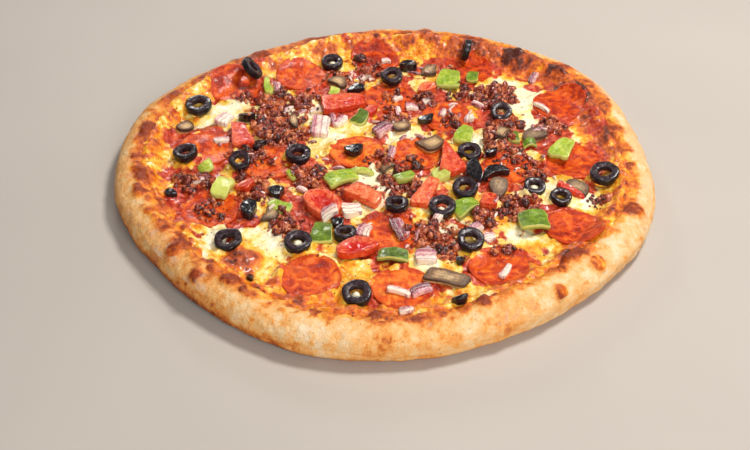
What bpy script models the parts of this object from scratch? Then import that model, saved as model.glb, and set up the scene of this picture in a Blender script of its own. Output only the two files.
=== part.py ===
"""A whole supreme pan pizza, baked and uncut.

A round of dough with a puffed rim carries baked cheese and toppings: pepperoni, black olive rings,
tomato, green pepper, mushroom, red onion and crumbled sausage. Metres, +Z up. The origin is
the middle of the underside.
"""

import math

import bmesh
import bpy
from mathutils import Matrix, Vector
from mathutils.bvhtree import BVHTree

MM = 0.001

# Driving sizes of the dough
PIZZA_RADIUS = 171.2 * MM
RIM_HEIGHT = 20.5 * MM
WIDEST_HEIGHT = 9 * MM
FLOOR_HEIGHT = 8.5 * MM
CREST_INSET = 14 * MM
FLOOR_INSET = 36 * MM
UNDERSIDE_INSET = 8 * MM
# Waves that make the hand-shaped outline uneven: waves in a turn, height, angle of a peak in degrees
OUTLINE_WAVES = (
    (1, 5.0 * MM, 45),
    (2, 4.3 * MM, 23),
    (3, 3.3 * MM, 41),
    (4, 1.7 * MM, 75),
    (5, 1.2 * MM, 41),
    (6, 0.9 * MM, 39),
    (7, 0.9 * MM, 41),
)

# Waves that make the rim's crest uneven, in the same form
CREST_WAVES = ((3, 0.5 * MM, 70), (5, 0.6 * MM, 12), (8, 0.5 * MM, 33), (11, 0.4 * MM, 5))

# The cheese on the dough
GAP = 0.3 * MM
REST_GAP = 0.4 * MM
CHEESE_THICK = 3.6 * MM
CHEESE_SLOPE_THICK = 2.4 * MM
CHEESE_EDGE_THICK = 1.2 * MM
CHEESE_LUMP = 0.28 * MM
# Waves of the cheese's top: length in millimetres, direction in degrees, start
CHEESE_WAVES = ((61, 15, 0.4), (47, 78, 2.1), (38, 130, 4.0), (31, 52, 1.2), (27, 165, 5.1), (22, 100, 3.3))
# The cheese stops this far inside the outline, further in at the front than at the back
CHEESE_EDGE_INSET = 18.5 * MM
CHEESE_EDGE_WAVES = ((1, 4.5 * MM, 270), (6, 0.8 * MM, 20), (9, 0.9 * MM, 7), (14, 0.7 * MM, 11))
LAYER_SIDES = 52
SLOPE_STEPS = (0, 0.3, 0.6, 0.85, 1)
INNER_RINGS = 8

# Places are in millimetres from the middle of the pizza, +Y away from the viewer
# Pepperoni: x, y, diameter
PEPPERONI = (
    (-106, 87, 37), (-59, 104, 38), (-7, 128, 37), (61, 117, 37), (122, 73, 38),
    (124, 6, 38), (116, -63, 37), (69, -100, 38), (11, -120, 37), (-42, -111, 37),
    (-107, -51, 37), (-117, 13, 38), (-74, -2, 36), (-18, 13, 37), (22, 12, 36),
    (3, 77, 36), (43, 55, 36), (78, -4, 36), (3, -69, 36),
)
PEPPERONI_THICK = 1.7 * MM
PEPPERONI_SIDES = 15

# Black olive rings: x, y, diameter, tilt in degrees, direction the tilt leans towards in degrees
OLIVES = (
    (-127, 56, 18, 4, 250), (-129, 2, 16, 8, 200), (-93, -6, 14, 22, 265), (-56, 3, 17, 5, 300),
    (-92, -85, 17, 8, 240), (-51, -83, 17, 6, 280), (-15, -128, 17, 10, 265), (-23, -74, 14, 6, 90),
    (52, -81, 17, 10, 290), (36, -49, 17, 6, 260), (8, -47, 15, 6, 90), (51, -30, 16, 16, 240),
    (95, -26, 14, 12, 280), (111, -35, 14, 8, 300), (141, -14, 18, 12, 220), (56, 12, 16, 4, 250),
    (80, 57, 15, 20, 265), (-38, 119, 16, 8, 260), (5, 97, 15, 14, 270), (-93, 94, 19, 58, 27),
    (59, 127, 16, 78, 175),
)
OLIVE_THICK = 5.5 * MM
OLIVE_WALL = 0.27
OLIVE_SIDES = 12

# Tomato wedges: x, y, length, width, turn in degrees
TOMATOES = (
    (-96, 27, 26, 15, 105), (-38, -46, 28, 21, 125), (-12, -36, 24, 12, -38), (27, -33, 29, 13, 68),
    (42, 4, 35, 17, 97), (-15, -90, 25, 14, 18), (-29, 67, 29, 20, 12),
)
TOMATO_THICK = 5 * MM

# Green pepper pieces: x, y, length, width, turn in degrees
PEPPERS = (
    (-101, -33, 18, 12, 75), (-37, -73, 18, 12, 85), (6, -93, 19, 9, -4), (-27, -18, 21, 12, 25),
    (54, 31, 18, 13, 70), (51, -45, 18, 13, 35), (91, -62, 18, 15, 8), (118, 15, 22, 15, 60),
    (46, 98, 22, 15, 80),
)
PEPPER_THICK = 3.2 * MM

# Mushroom slices: x, y, length, width, turn in degrees
MUSHROOMS = ((37, -112, 25, 11, -18),)
MUSHROOM_THICK = 3 * MM

# A block of red onion: x, y, length, width, turn in degrees
ONIONS = ((-43, 40, 22, 12, 88),)
ONION_THICK = 4 * MM

# Blisters of browned cheese: x, y, radius, height
BLISTERS = (
    (-81, -99, 11, 4.5), (110, -93, 9, 2.2), (125, -100, 6, 2.2), (154, -52, 7, 2.4),
    (-122, -97, 6, 2.0), (-106, -117, 5, 1.8), (-86, -122, 7, 2.0), (-3, -146, 5, 2.0),
    (101, -125, 5, 2.0), (-151, -23, 8, 1.8), (-155, 22, 7, 1.8), (150, 30, 8, 1.6),
    (128, 108, 9, 2.0), (95, 128, 9, 2.2), (30, 155, 8, 1.8), (-55, 145, 7, 1.8),
    (-92, 126, 6, 1.8), (56, -138, 5, 1.6), (-63, -116, 5, 1.4), (-151, -42, 6, 1.4),
)

# Clusters of crumbled sausage: x, y, spread, number of crumbs
SAUSAGE_CLUSTERS = (
    (-73, 41, 15, 9), (-70, 24, 9, 3), (-121, -23, 10, 3), (-80, -29, 13, 6), (-48, -15, 9, 4),
    (8, -21, 11, 4), (30, -75, 14, 8), (78, 17, 13, 5), (98, -9, 7, 3), (84, -43, 12, 6),
    (79, 83, 13, 6), (82, 46, 12, 3), (27, 77, 9, 3), (9, 47, 9, 3), (-34, 98, 9, 2),
    (-75, 70, 13, 4), (112, 45, 8, 2), (-60, -63, 9, 3), (-8, 104, 12, 2), (61, -54, 10, 3),
    (-55, 70, 11, 3),
)
CRUMB_SIZE = (2.8 * MM, 4.6 * MM)
CRUMB_CLEARANCE = 0.8 * MM
CRUMB_RAISE = 0.55

# Smaller cut toppings: x, y, length, width, height, turn in degrees
SMALL_OLIVES = (
    (-94, 50, 12, 9, 5, 10), (-82, -53, 14, 10, 6, 80), (46, -96, 6, 5, 4, 60), (43, -132, 10, 6, 4, 20),
    (17, 118, 13, 11, 6, 0), (-66, -34, 11, 9, 5, 70), (-28, -62, 8, 7, 4, 0), (-133, -37, 8, 6, 3, 20),
    (-75, -116, 7, 4, 3, 90),
)
SMALL_MUSHROOMS = (
    (11, 41, 14, 10, 3.5, 30), (101, 32, 18, 13, 3.5, 20), (80, 35, 13, 9, 3.5, 60),
    (-134, 36, 13, 10, 3.5, 50), (33, 114, 14, 10, 3.5, 80), (-34, 93, 15, 10, 3.5, -30),
    (-70, -54, 14, 8, 3.5, 80), (-60, 44, 15, 6, 3.5, 100),
    (122, -25, 17, 11, 3.5, -35),
)
SMALL_TOMATOES = (
    (-87, -27, 13, 11, 4.5, 60), (30, 89, 15, 12, 4.5, 40), (66, -38, 15, 10, 4.5, 80),
)
SMALL_PEPPERS = (
    (13, -16, 13, 9, 3.5, 20), (36, -13, 13, 9, 3.5, 110), (-64, -46, 15, 9, 3.5, 160),
    (-17, 51, 13, 9, 3.5, 60), (-82, 89, 18, 6, 4, 100), (88, 31, 10, 8, 3.5, 80),
    (-36, 84, 9, 7, 3.5, 80),
)
SMALL_ONIONS = (
    (-30, 47, 12, 6, 3.5, 50), (-1, 36, 14, 9, 4, 40), (25, -94, 13, 11, 4, 5),
    (-20, -50, 13, 10, 4, 20), (56, -66, 9, 7, 3.5, 35), (-108, 46, 13, 9, 3.5, 60),
    (-76, 87, 11, 5, 3.5, 100), (72, 31, 11, 5, 3.5, 80),
    (107, 104, 9, 5, 3, 60),
)
SMALL_SINK = 0.8 * MM

COLOURS = {
    "crust": ((0.78, 0.52, 0.26), 0.75),
    "cheese": ((0.90, 0.66, 0.26), 0.45),
    "pepperoni": ((0.66, 0.13, 0.03), 0.35),
    "olive": ((0.02, 0.016, 0.018), 0.22),
    "tomato": ((0.72, 0.08, 0.03), 0.25),
    "pepper": ((0.22, 0.42, 0.05), 0.30),
    "mushroom": ((0.30, 0.20, 0.12), 0.50),
    "onion": ((0.80, 0.62, 0.68), 0.30),
}


def clear_scene():
    for old in list(bpy.data.objects):
        bpy.data.objects.remove(old, do_unlink=True)


def food_material(name):
    """One Principled material for each kind of food."""
    found = bpy.data.materials.get(name)
    if found:
        return found
    colour, roughness = COLOURS[name]
    made = bpy.data.materials.new(name)
    made.use_nodes = True
    shader = made.node_tree.nodes["Principled BSDF"]
    shader.inputs["Base Color"].default_value = (*colour, 1)
    shader.inputs["Roughness"].default_value = roughness
    shader.inputs["Metallic"].default_value = 0
    return made


def add_object(name, points, faces, kind):
    """A named object from points and faces, with its normals pointing out."""
    mesh = bpy.data.meshes.new(name)
    mesh.from_pydata([tuple(p) for p in points], [], faces)
    shaped = bmesh.new()
    shaped.from_mesh(mesh)
    bmesh.ops.recalc_face_normals(shaped, faces=shaped.faces)
    shaped.to_mesh(mesh)
    shaped.free()
    mesh.materials.append(food_material(kind))
    mesh.shade_smooth()
    mesh.set_sharp_from_angle(angle=math.radians(50))
    made = bpy.data.objects.new(name, mesh)
    bpy.context.scene.collection.objects.link(made)
    return made


def stacked_rings(name, low, rings, high, kind):
    """A closed body: a fan from the point low to the first ring, bands from ring to ring, and a
    fan from the last ring to the point high. All rings have the same number of points. Each band
    is split the same way whichever of its rings is the wider, so that touching layers match."""
    sides = len(rings[0])
    points = [low] + [p for ring in rings for p in ring] + [high]
    widths = [ring[0].xy.length for ring in rings]
    last = len(points) - 1
    faces = []
    for side in range(sides):
        after = (side + 1) % sides
        faces.append((0, 1 + after, 1 + side))
        for level in range(len(rings) - 1):
            here = 1 + level * sides
            above = here + sides
            if widths[level + 1] < widths[level]:
                faces.append((here + side, here + after, above + side))
                faces.append((here + after, above + after, above + side))
            else:
                faces.append((here + side, here + after, above + after))
                faces.append((here + side, above + after, above + side))
        top = 1 + (len(rings) - 1) * sides
        faces.append((last, top + side, top + after))
    return add_object(name, points, faces, kind)


def waves_round(angle, waves):
    """Sum of waves round the pizza: waves in a turn, height and angle of a peak in degrees."""
    return sum(height * math.cos(count * (angle - math.radians(peak))) for count, height, peak in waves)


def outline(angle):
    """Radius of the dough's widest line at an angle in radians: a circle with waves added."""
    return PIZZA_RADIUS + waves_round(angle, OUTLINE_WAVES)


def outline_shift():
    """What moves the outline's box so that its middle is the origin."""
    steps = [math.radians(a) for a in range(360)]
    xs = [outline(a) * math.cos(a) for a in steps]
    ys = [outline(a) * math.sin(a) for a in steps]
    return (min(xs) + max(xs)) / 2, (min(ys) + max(ys)) / 2


SHIFT_X, SHIFT_Y = outline_shift()


def at_inset(angle, inset, height):
    """The point that lies inset inside the outline at this angle."""
    radius = outline(angle) - inset
    return Vector((radius * math.cos(angle) - SHIFT_X, radius * math.sin(angle) - SHIFT_Y, height))


def crest_height(angle):
    """The rim's height, a little uneven round the pizza."""
    return RIM_HEIGHT + waves_round(angle, CREST_WAVES)


def dough_height(inset, angle):
    """Top of the dough from the flat floor up to the crest: half a cosine wave."""
    rise = min(max((FLOOR_INSET - inset) / (FLOOR_INSET - CREST_INSET), 0), 1)
    return FLOOR_HEIGHT + (crest_height(angle) - FLOOR_HEIGHT) * (1 - math.cos(math.pi * rise)) / 2


def cheese_edge(angle):
    """Inset of the cheese's edge: further in at the front, and wavy."""
    return CHEESE_EDGE_INSET + waves_round(angle, CHEESE_EDGE_WAVES)


def layer_angles():
    return [2 * math.pi * side / LAYER_SIDES for side in range(LAYER_SIDES)]


def slope_ring(step, lift):
    """A ring on the dough's inner slope, from the cheese's edge at step 0 to the floor at step 1."""
    ring = []
    for a in layer_angles():
        inset = cheese_edge(a) + (FLOOR_INSET - cheese_edge(a)) * step
        ring.append(at_inset(a, inset, dough_height(inset, a) + lift))
    return ring


def floor_point(lift):
    return Vector((0, 0, FLOOR_HEIGHT + lift))


def make_crust():
    """The dough: a flat underside, a quarter ellipse out to the widest line, another up to the
    crest, and the inner slope down to the floor."""
    angles = layer_angles()
    rings = []
    for part in (0, 0.4, 0.75):
        turn = part * math.pi / 2
        inset = UNDERSIDE_INSET * (1 - math.sin(turn))
        height = WIDEST_HEIGHT * (1 - math.cos(turn))
        rings.append([at_inset(a, inset, height) for a in angles])
    for part in (0, 0.3, 0.6, 0.85, 1):
        turn = part * math.pi / 2
        inset = CREST_INSET * (1 - math.cos(turn))
        ring = []
        for a in angles:
            height = WIDEST_HEIGHT + (crest_height(a) - WIDEST_HEIGHT) * math.sin(turn)
            ring.append(at_inset(a, inset, height))
        rings.append(ring)
    for step in SLOPE_STEPS:
        rings.append(slope_ring(step, 0))
    return stacked_rings("crust", Vector((0, 0, 0)), rings, floor_point(0), "crust")


def cheese_relief(x, y):
    """Lumps and blisters of the baked cheese above its mean surface."""
    height = 0.0
    for length, direction, start in CHEESE_WAVES:
        along = x * math.cos(math.radians(direction)) + y * math.sin(math.radians(direction))
        height += CHEESE_LUMP * math.sin(2 * math.pi * along / (length * MM) + start)
    for bx, by, radius, rise in BLISTERS:
        away = math.hypot(x - bx * MM, y - by * MM) / (radius * MM)
        height += rise * MM * math.exp(-(away**2) * 1.4)
    return height


def cheese_top_ring(step):
    """A ring of the cheese's top: thin at its edge, full on the floor."""
    if step == 0:
        return slope_ring(step, GAP + CHEESE_EDGE_THICK)
    ring = slope_ring(step, GAP + CHEESE_SLOPE_THICK + (CHEESE_THICK - CHEESE_SLOPE_THICK) * step)
    for point in ring:
        point.z += cheese_relief(point.x, point.y)
    return ring


def make_cheese_sheet():
    """The cheese: its underside follows the dough, its top carries the relief."""
    low = [slope_ring(step, GAP) for step in reversed(SLOPE_STEPS)]
    high = [cheese_top_ring(step) for step in SLOPE_STEPS]
    for ring in range(1, INNER_RINGS):
        share = 1 - ring / INNER_RINGS
        inner = []
        for point in high[len(SLOPE_STEPS) - 1]:
            x, y = point.x * share, point.y * share
            inner.append(Vector((x, y, cheese_floor_top(x, y))))
        high.append(inner)
    top = Vector((0, 0, cheese_floor_top(0, 0)))
    return stacked_rings("cheese", floor_point(GAP), low + high, top, "cheese")


def cheese_floor_top(x, y):
    """Top of the cheese over the flat floor."""
    return FLOOR_HEIGHT + GAP + CHEESE_THICK + cheese_relief(x, y)


def tree_of(obj):
    """A tree for finding where vertical lines meet the object."""
    corners = [v.co for v in obj.data.vertices]
    return BVHTree.FromPolygons(corners, [tuple(p.vertices) for p in obj.data.polygons])


class Pile:
    """What lies on the dough so far, for setting the next piece down on it."""

    def __init__(self):
        self.layers = []

    def add(self, obj):
        corners = [v.co.copy() for v in obj.data.vertices]
        xs, ys = [p.x for p in corners], [p.y for p in corners]
        self.layers.append((tree_of(obj), corners, min(xs), max(xs), min(ys), max(ys)))

    def top(self, x, y):
        """Height of the highest surface under x, y, or 0 beside the pile."""
        best = 0.0
        for tree, _, x0, x1, y0, y1 in self.layers:
            if x0 <= x <= x1 and y0 <= y <= y1:
                hit = tree.ray_cast(Vector((x, y, 0.2)), Vector((0, 0, -1)))[0]
                if hit is not None and hit.z > best:
                    best = hit.z
        return best

    def corners_near(self, x0, x1, y0, y1):
        """The pile's own corners inside a rectangle."""
        for _, corners, left, right, front, back in self.layers:
            if left < x1 and right > x0 and front < y1 and back > y0:
                yield from (p for p in corners if x0 < p.x < x1 and y0 < p.y < y1)

    def settle(self, obj, step=0.7 * MM):
        """Moves the object's mesh up or down until it just clears what lies under it."""
        tree = tree_of(obj)
        xs = [v.co.x for v in obj.data.vertices]
        ys = [v.co.y for v in obj.data.vertices]
        x0, x1, y0, y1 = min(xs), max(xs), min(ys), max(ys)
        places = list(zip(xs, ys))
        for i in range(int((x1 - x0) / step) + 2):
            for j in range(int((y1 - y0) / step) + 2):
                places.append((x0 + i * step, y0 + j * step))
        below = [Vector((x, y, self.top(x, y))) for x, y in places]
        below += list(self.corners_near(x0, x1, y0, y1))
        lift = -1.0
        for spot in below:
            under = tree.ray_cast(Vector((spot.x, spot.y, -0.2)), Vector((0, 0, 1)))[0]
            if under is not None:
                lift = max(lift, spot.z - under.z)
        obj.data.transform(Matrix.Translation((0, 0, lift + REST_GAP)))
        self.add(obj)


def circle(radius, sides, height=0.0, squash=1.0):
    steps = [2 * math.pi * side / sides for side in range(sides)]
    return [Vector((radius * math.cos(a), squash * radius * math.sin(a), height)) for a in steps]


def make_pepperoni(name, x, y, diameter, pile):
    """A thin round that drapes over the cheese, with its edge turned up a little."""
    radius = diameter / 2 * MM
    place = Vector((x * MM, y * MM, 0))
    thin = PEPPERONI_THICK
    shapes = ((0.6, 0.0), (1.0, 0.5 * MM), (1.0, thin + 0.4 * MM), (0.84, thin + 0.1 * MM))
    rings = []
    for share, rise in shapes:
        ring = []
        for p in circle(radius * share, PEPPERONI_SIDES):
            spot = place + p
            spot.z = pile.top(spot.x, spot.y) + rise
            ring.append(spot)
        rings.append(ring)
    low = Vector((place.x, place.y, pile.top(place.x, place.y)))
    made = stacked_rings(name, low, rings, low + Vector((0, 0, thin)), "pepperoni")
    pile.settle(made)
    return made


def lean(obj, tilt, towards):
    """Tips the mesh about its middle so that it leans towards a direction, all in degrees."""
    axis = Vector((-math.sin(math.radians(towards)), math.cos(math.radians(towards)), 0))
    obj.data.transform(Matrix.Rotation(math.radians(tilt), 4, axis))


def make_olive(name, x, y, diameter, tilt, towards, pile):
    """A slice across a pitted olive: a ring with rounded edges and a slightly barrelled outside."""
    outer = diameter / 2 * MM
    wall = outer * 2 * OLIVE_WALL
    half = OLIVE_THICK / 2
    section = ((outer - wall, -0.6), (outer - 0.25 * wall, -1), (outer, 0), (outer - 0.25 * wall, 1), (outer - wall, 0.6))
    points, faces = [], []
    for radius, level in section:
        points += circle(radius, OLIVE_SIDES, level * half)
    for row in range(len(section)):
        here, above = row * OLIVE_SIDES, (row + 1) % len(section) * OLIVE_SIDES
        for side in range(OLIVE_SIDES):
            after = (side + 1) % OLIVE_SIDES
            faces.append((here + side, here + after, above + after, above + side))
    made = add_object(name, points, faces, "olive")
    lean(made, tilt, towards)
    made.data.transform(Matrix.Translation((x * MM, y * MM, 0)))
    pile.settle(made)
    return made


def round_outline(length, width, corners):
    """An oval from above."""
    steps = [2 * math.pi * step / corners for step in range(corners)]
    return [Vector((math.cos(a) * length / 2, math.sin(a) * width / 2, 0)) for a in steps]


def wedge_outline(length, width, corners=10):
    """A tomato wedge from above: a round skin side that narrows to the core."""
    shape = []
    for step in range(corners):
        a = 2 * math.pi * step / corners
        along = math.cos(a)
        across = math.sin(a) * (0.62 + 0.38 * math.cos(a)) ** 0.8
        shape.append(Vector((along * length / 2, across * width * 0.56, 0)))
    return shape


def strip_outline(length, width, corners=12):
    """A cut piece from above: an oblong with its corners rounded."""
    shape = []
    for step in range(corners):
        a = 2 * math.pi * (step + 0.5) / corners
        c, s = math.cos(a), math.sin(a)
        reach = (abs(c) ** 5 + abs(s) ** 5) ** (-1 / 5)
        shape.append(Vector((reach * c * length / 2, reach * s * width / 2, 0)))
    return shape


def cap_outline(length, width, corners=12):
    """A mushroom slice from above: a round cap at one end and a stalk at the other."""
    shape = []
    for step in range(corners):
        a = 2 * math.pi * step / corners
        along = math.cos(a)
        neck = 0.72 + 0.28 * math.tanh(3 * along)
        shape.append(Vector((along * length / 2, math.sin(a) * width / 2 * neck, 0)))
    return shape


def make_slab(name, shape, thick, arch, x, y, turn, kind, pile):
    """A cut piece: its outline drawn in at the faces, and arched over its length by arch."""
    span = max(p.x for p in shape)
    rings = []
    for share, level in ((0.86, 0), (1.0, 0.35), (1.0, 0.7), (0.84, 1.0)):
        rings.append([Vector((p.x * share, p.y * share, thick * level)) for p in shape])
    for ring in rings:
        for p in ring:
            p.z += arch * (1 - (p.x / span) ** 2)
    made = stacked_rings(name, Vector((0, 0, arch)), rings, Vector((0, 0, thick * 1.06 + arch)), kind)
    made.data.transform(Matrix.Rotation(math.radians(turn), 4, "Z"))
    made.data.transform(Matrix.Translation((x * MM, y * MM, 0)))
    pile.settle(made)
    return made


def numbered(kind, index):
    return f"{kind}_{index + 1:02d}"


def lay_toppings(pile):
    """Sets every large topping down, the flat ones first."""
    for index, (x, y, diameter) in enumerate(PEPPERONI):
        make_pepperoni(numbered("pepperoni", index), x, y, diameter, pile)
    slabs = (
        ("mushroom", MUSHROOMS, cap_outline, MUSHROOM_THICK, 0.4 * MM, "mushroom"),
        ("tomato", TOMATOES, wedge_outline, TOMATO_THICK, 0.6 * MM, "tomato"),
        ("green_pepper", PEPPERS, strip_outline, PEPPER_THICK, 1.2 * MM, "pepper"),
        ("onion", ONIONS, strip_outline, ONION_THICK, 0.8 * MM, "onion"),
    )
    for kind, rows, shape, thick, arch, food in slabs:
        for index, (x, y, length, width, turn) in enumerate(rows):
            cut = shape(length * MM, width * MM)
            make_slab(numbered(kind, index), cut, thick, arch, x, y, turn, food, pile)
    for index, (x, y, diameter, tilt, towards) in enumerate(OLIVES):
        make_olive(numbered("olive", index), x, y, diameter, tilt, towards, pile)


def oblong(x, y, length, width, turn):
    """A cut piece seen from above: the two ends of its spine and its radius, in metres."""
    reach = max(length - width, 0) / 2 * MM
    along = Vector((math.cos(math.radians(turn)), math.sin(math.radians(turn)))) * reach
    middle = Vector((x, y)) * MM
    return middle - along, middle + along, width / 2 * MM


def round_print(x, y, diameter):
    middle = Vector((x, y)) * MM
    return middle, middle, diameter / 2 * MM


def footprints():
    """Every large topping seen from above."""
    found = [round_print(*row) for row in PEPPERONI] + [round_print(*row[:3]) for row in OLIVES]
    for rows in (TOMATOES, PEPPERS, MUSHROOMS, ONIONS):
        found += [oblong(*row) for row in rows]
    return found


def unit_random(seed):
    """A repeatable stream of numbers from 0 to 1: the fractional part of growing sines."""
    count = seed * 7919.0
    while True:
        count += 1
        value = math.sin(count * 12.9898) * 43758.5453
        yield value - math.floor(value)


def away_from(spot, start, end):
    """Distance of a place from the line from start to end."""
    line = end - start
    if line.length_squared == 0:
        return (spot - start).length
    share = min(max((spot - start).dot(line) / line.length_squared, 0), 1)
    return (spot - start - line * share).length


def clear_of(piece, others):
    """Whether a piece seen from above stays clear of the others."""
    start, end, radius = piece
    for other_start, other_end, other_radius in others:
        near = radius + other_radius + CRUMB_CLEARANCE
        for share in (0, 0.5, 1):
            if away_from(start.lerp(end, share), other_start, other_end) < near:
                return False
    return True


def crumb_places(laid):
    """Sausage crumbs as place and radius: drawn in each cluster, and kept where they fit."""
    draw = unit_random(11)
    kept = []
    for cx, cy, spread, number in SAUSAGE_CLUSTERS:
        found = 0
        for _ in range(number * 14):
            away, turn, share = next(draw) ** 0.5 * spread * MM, next(draw) * 2 * math.pi, next(draw)
            spot = Vector((cx * MM + away * math.cos(turn), cy * MM + away * math.sin(turn)))
            radius = CRUMB_SIZE[0] + (CRUMB_SIZE[1] - CRUMB_SIZE[0]) * share
            if found < number and clear_of((spot, spot, radius), laid):
                kept.append((spot, radius))
                laid.append((spot, spot, radius * 0.75))
                found += 1
    return kept


def add_crumb(group, spot, z, radius, draw):
    """One knobbly crumb: a 20-sided ball with its corners pushed in and out."""
    shaped = bmesh.new()
    bmesh.ops.create_icosphere(shaped, subdivisions=1, radius=radius)
    for v in shaped.verts:
        v.co *= 0.85 + 0.3 * next(draw)
    turn = Matrix.Rotation(6.3 * next(draw), 4, Vector((next(draw), next(draw), 1)))
    shaped.transform(Matrix.Translation((spot.x, spot.y, z + radius * CRUMB_RAISE)) @ turn)
    put_in_group(group, shaped, "crumb")


def add_small_piece(group, shape, x, y, height, turn, bare):
    """One small cut topping that follows the cheese: its outline sunk a little, and raised by its
    height and drawn in at the top."""
    spin = Matrix.Rotation(math.radians(turn), 3, "Z")
    shaped = bmesh.new()
    levels = []
    for share, rise in ((1, -SMALL_SINK), (0.85, height)):
        level = []
        for p in shape:
            spot = spin @ (p * share) + Vector((x * MM, y * MM, 0))
            level.append(shaped.verts.new((spot.x, spot.y, bare.top(spot.x, spot.y) + rise)))
        levels.append(level)
    lower, upper = levels
    shaped.faces.new(list(reversed(lower)))
    shaped.faces.new(upper)
    for side in range(len(shape)):
        after = (side + 1) % len(shape)
        shaped.faces.new((lower[side], lower[after], upper[after], upper[side]))
    bmesh.ops.triangulate(shaped, faces=shaped.faces)
    put_in_group(group, shaped, "small_piece")


def put_in_group(group, shaped, name):
    mesh = bpy.data.meshes.new(name)
    shaped.to_mesh(mesh)
    shaped.free()
    mesh.materials.append(food_material("cheese"))
    group.objects.link(bpy.data.objects.new(name, mesh))


def drop_small_islands(mesh):
    """Keeps the largest connected surface, which fills sealed hollows and drops loose scraps."""
    shaped = bmesh.new()
    shaped.from_mesh(mesh)
    shaped.faces.ensure_lookup_table()
    unseen = set(shaped.faces)
    islands = []
    while unseen:
        edge = [unseen.pop()]
        island = list(edge)
        while edge:
            neighbours = {f for e in edge.pop().edges for f in e.link_faces} & unseen
            unseen -= neighbours
            edge.extend(neighbours)
            island.extend(neighbours)
        islands.append(island)
    largest = max(islands, key=len)
    for island in islands:
        if island is not largest:
            bmesh.ops.delete(shaped, geom=island, context="FACES")
    shaped.to_mesh(mesh)
    shaped.free()


def fuse(target, group):
    """Applies one Boolean union with the whole group, then removes the group's objects."""
    step = target.modifiers.new("small_toppings", "BOOLEAN")
    step.operation = "UNION"
    step.operand_type = "COLLECTION"
    step.collection = group
    step.solver = "MANIFOLD"
    graph = bpy.context.evaluated_depsgraph_get()
    made = bpy.data.meshes.new_from_object(target.evaluated_get(graph))
    target.modifiers.clear()
    drop_small_islands(made)
    target.data = made
    for member in list(group.objects):
        bpy.data.objects.remove(member, do_unlink=True)
    bpy.data.collections.remove(group)


def new_group(name):
    group = bpy.data.collections.new(name)
    bpy.context.scene.collection.children.link(group)
    return group


def sprinkle_small_toppings(cheese):
    """Fuses the small toppings to the cheese, clear of the large ones."""
    bare = Pile()
    bare.add(cheese)
    laid = footprints()
    group = new_group("small_toppings")
    small = (
        (SMALL_OLIVES, round_outline, 7), (SMALL_MUSHROOMS, cap_outline, 7),
        (SMALL_TOMATOES, wedge_outline, 7), (SMALL_PEPPERS, strip_outline, 6),
        (SMALL_ONIONS, strip_outline, 6),
    )
    for rows, outline_of, corners in small:
        for x, y, length, width, height, turn in rows:
            piece = oblong(x, y, length, width, turn)
            if clear_of(piece, laid):
                shape = outline_of(length * MM, width * MM, corners)
                add_small_piece(group, shape, x, y, height * MM, turn, bare)
                laid.append(piece)
    draw = unit_random(5)
    for spot, radius in crumb_places(laid):
        add_crumb(group, spot, bare.top(spot.x, spot.y), radius, draw)
    fuse(cheese, group)


def main():
    clear_scene()
    pile = Pile()
    pile.add(make_crust())
    cheese = make_cheese_sheet()
    pile.add(cheese)
    lay_toppings(pile)
    sprinkle_small_toppings(cheese)


main()
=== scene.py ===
"""A whole supreme pan pizza, baked and uncut, on a plain pale floor.

Shapes are worked out in millimetres as whole arrays and put into meshes in metres, in the frame
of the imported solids. The dough and the cheese follow the same waves as their solids; every
topping lies where its solid lies.
"""

import math

import bmesh
import bpy
import numpy as np
from mathutils import Matrix, Vector
from mathutils.bvhtree import BVHTree

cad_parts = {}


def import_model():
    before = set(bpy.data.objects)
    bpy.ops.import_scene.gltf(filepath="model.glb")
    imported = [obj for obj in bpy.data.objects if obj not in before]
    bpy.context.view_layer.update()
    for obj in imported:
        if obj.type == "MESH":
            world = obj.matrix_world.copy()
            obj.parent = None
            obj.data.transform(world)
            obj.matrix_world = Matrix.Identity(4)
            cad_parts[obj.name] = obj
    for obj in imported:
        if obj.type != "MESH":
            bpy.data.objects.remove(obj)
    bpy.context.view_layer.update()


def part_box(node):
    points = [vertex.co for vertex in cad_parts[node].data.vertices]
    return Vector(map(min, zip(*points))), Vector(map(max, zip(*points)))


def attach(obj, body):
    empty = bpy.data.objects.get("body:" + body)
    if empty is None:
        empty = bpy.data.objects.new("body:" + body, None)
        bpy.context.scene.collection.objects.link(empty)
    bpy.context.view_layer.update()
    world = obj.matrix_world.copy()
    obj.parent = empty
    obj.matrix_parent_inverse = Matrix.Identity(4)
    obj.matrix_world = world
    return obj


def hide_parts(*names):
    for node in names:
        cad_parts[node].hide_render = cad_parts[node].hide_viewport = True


MM = 0.001

# Dough: sizes in millimetres, waves as (waves in a turn, height, angle of a peak in degrees)
PIZZA_RADIUS = 171.2
RIM_HEIGHT = 20.5
WIDEST_HEIGHT = 9.0
FLOOR_HEIGHT = 8.5
CREST_INSET = 14.0
FLOOR_INSET = 36.0
UNDERSIDE_INSET = 8.0
OUTLINE_WAVES = (
    (1, 5.0, 45), (2, 4.3, 23), (3, 3.3, 41), (4, 1.7, 75), (5, 1.2, 41), (6, 0.9, 39), (7, 0.9, 41),
)
CREST_WAVES = ((3, 0.5, 70), (5, 0.6, 12), (8, 0.5, 33), (11, 0.4, 5))
OUTLINE_SAMPLES = 720
DOUGH_TURNS = 960
# The first ring of the dough that counts as its top, and the radius that its noise is unrolled on
FIRST_TOP_RING = 25
UNROLLED_RADIUS = 172

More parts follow.
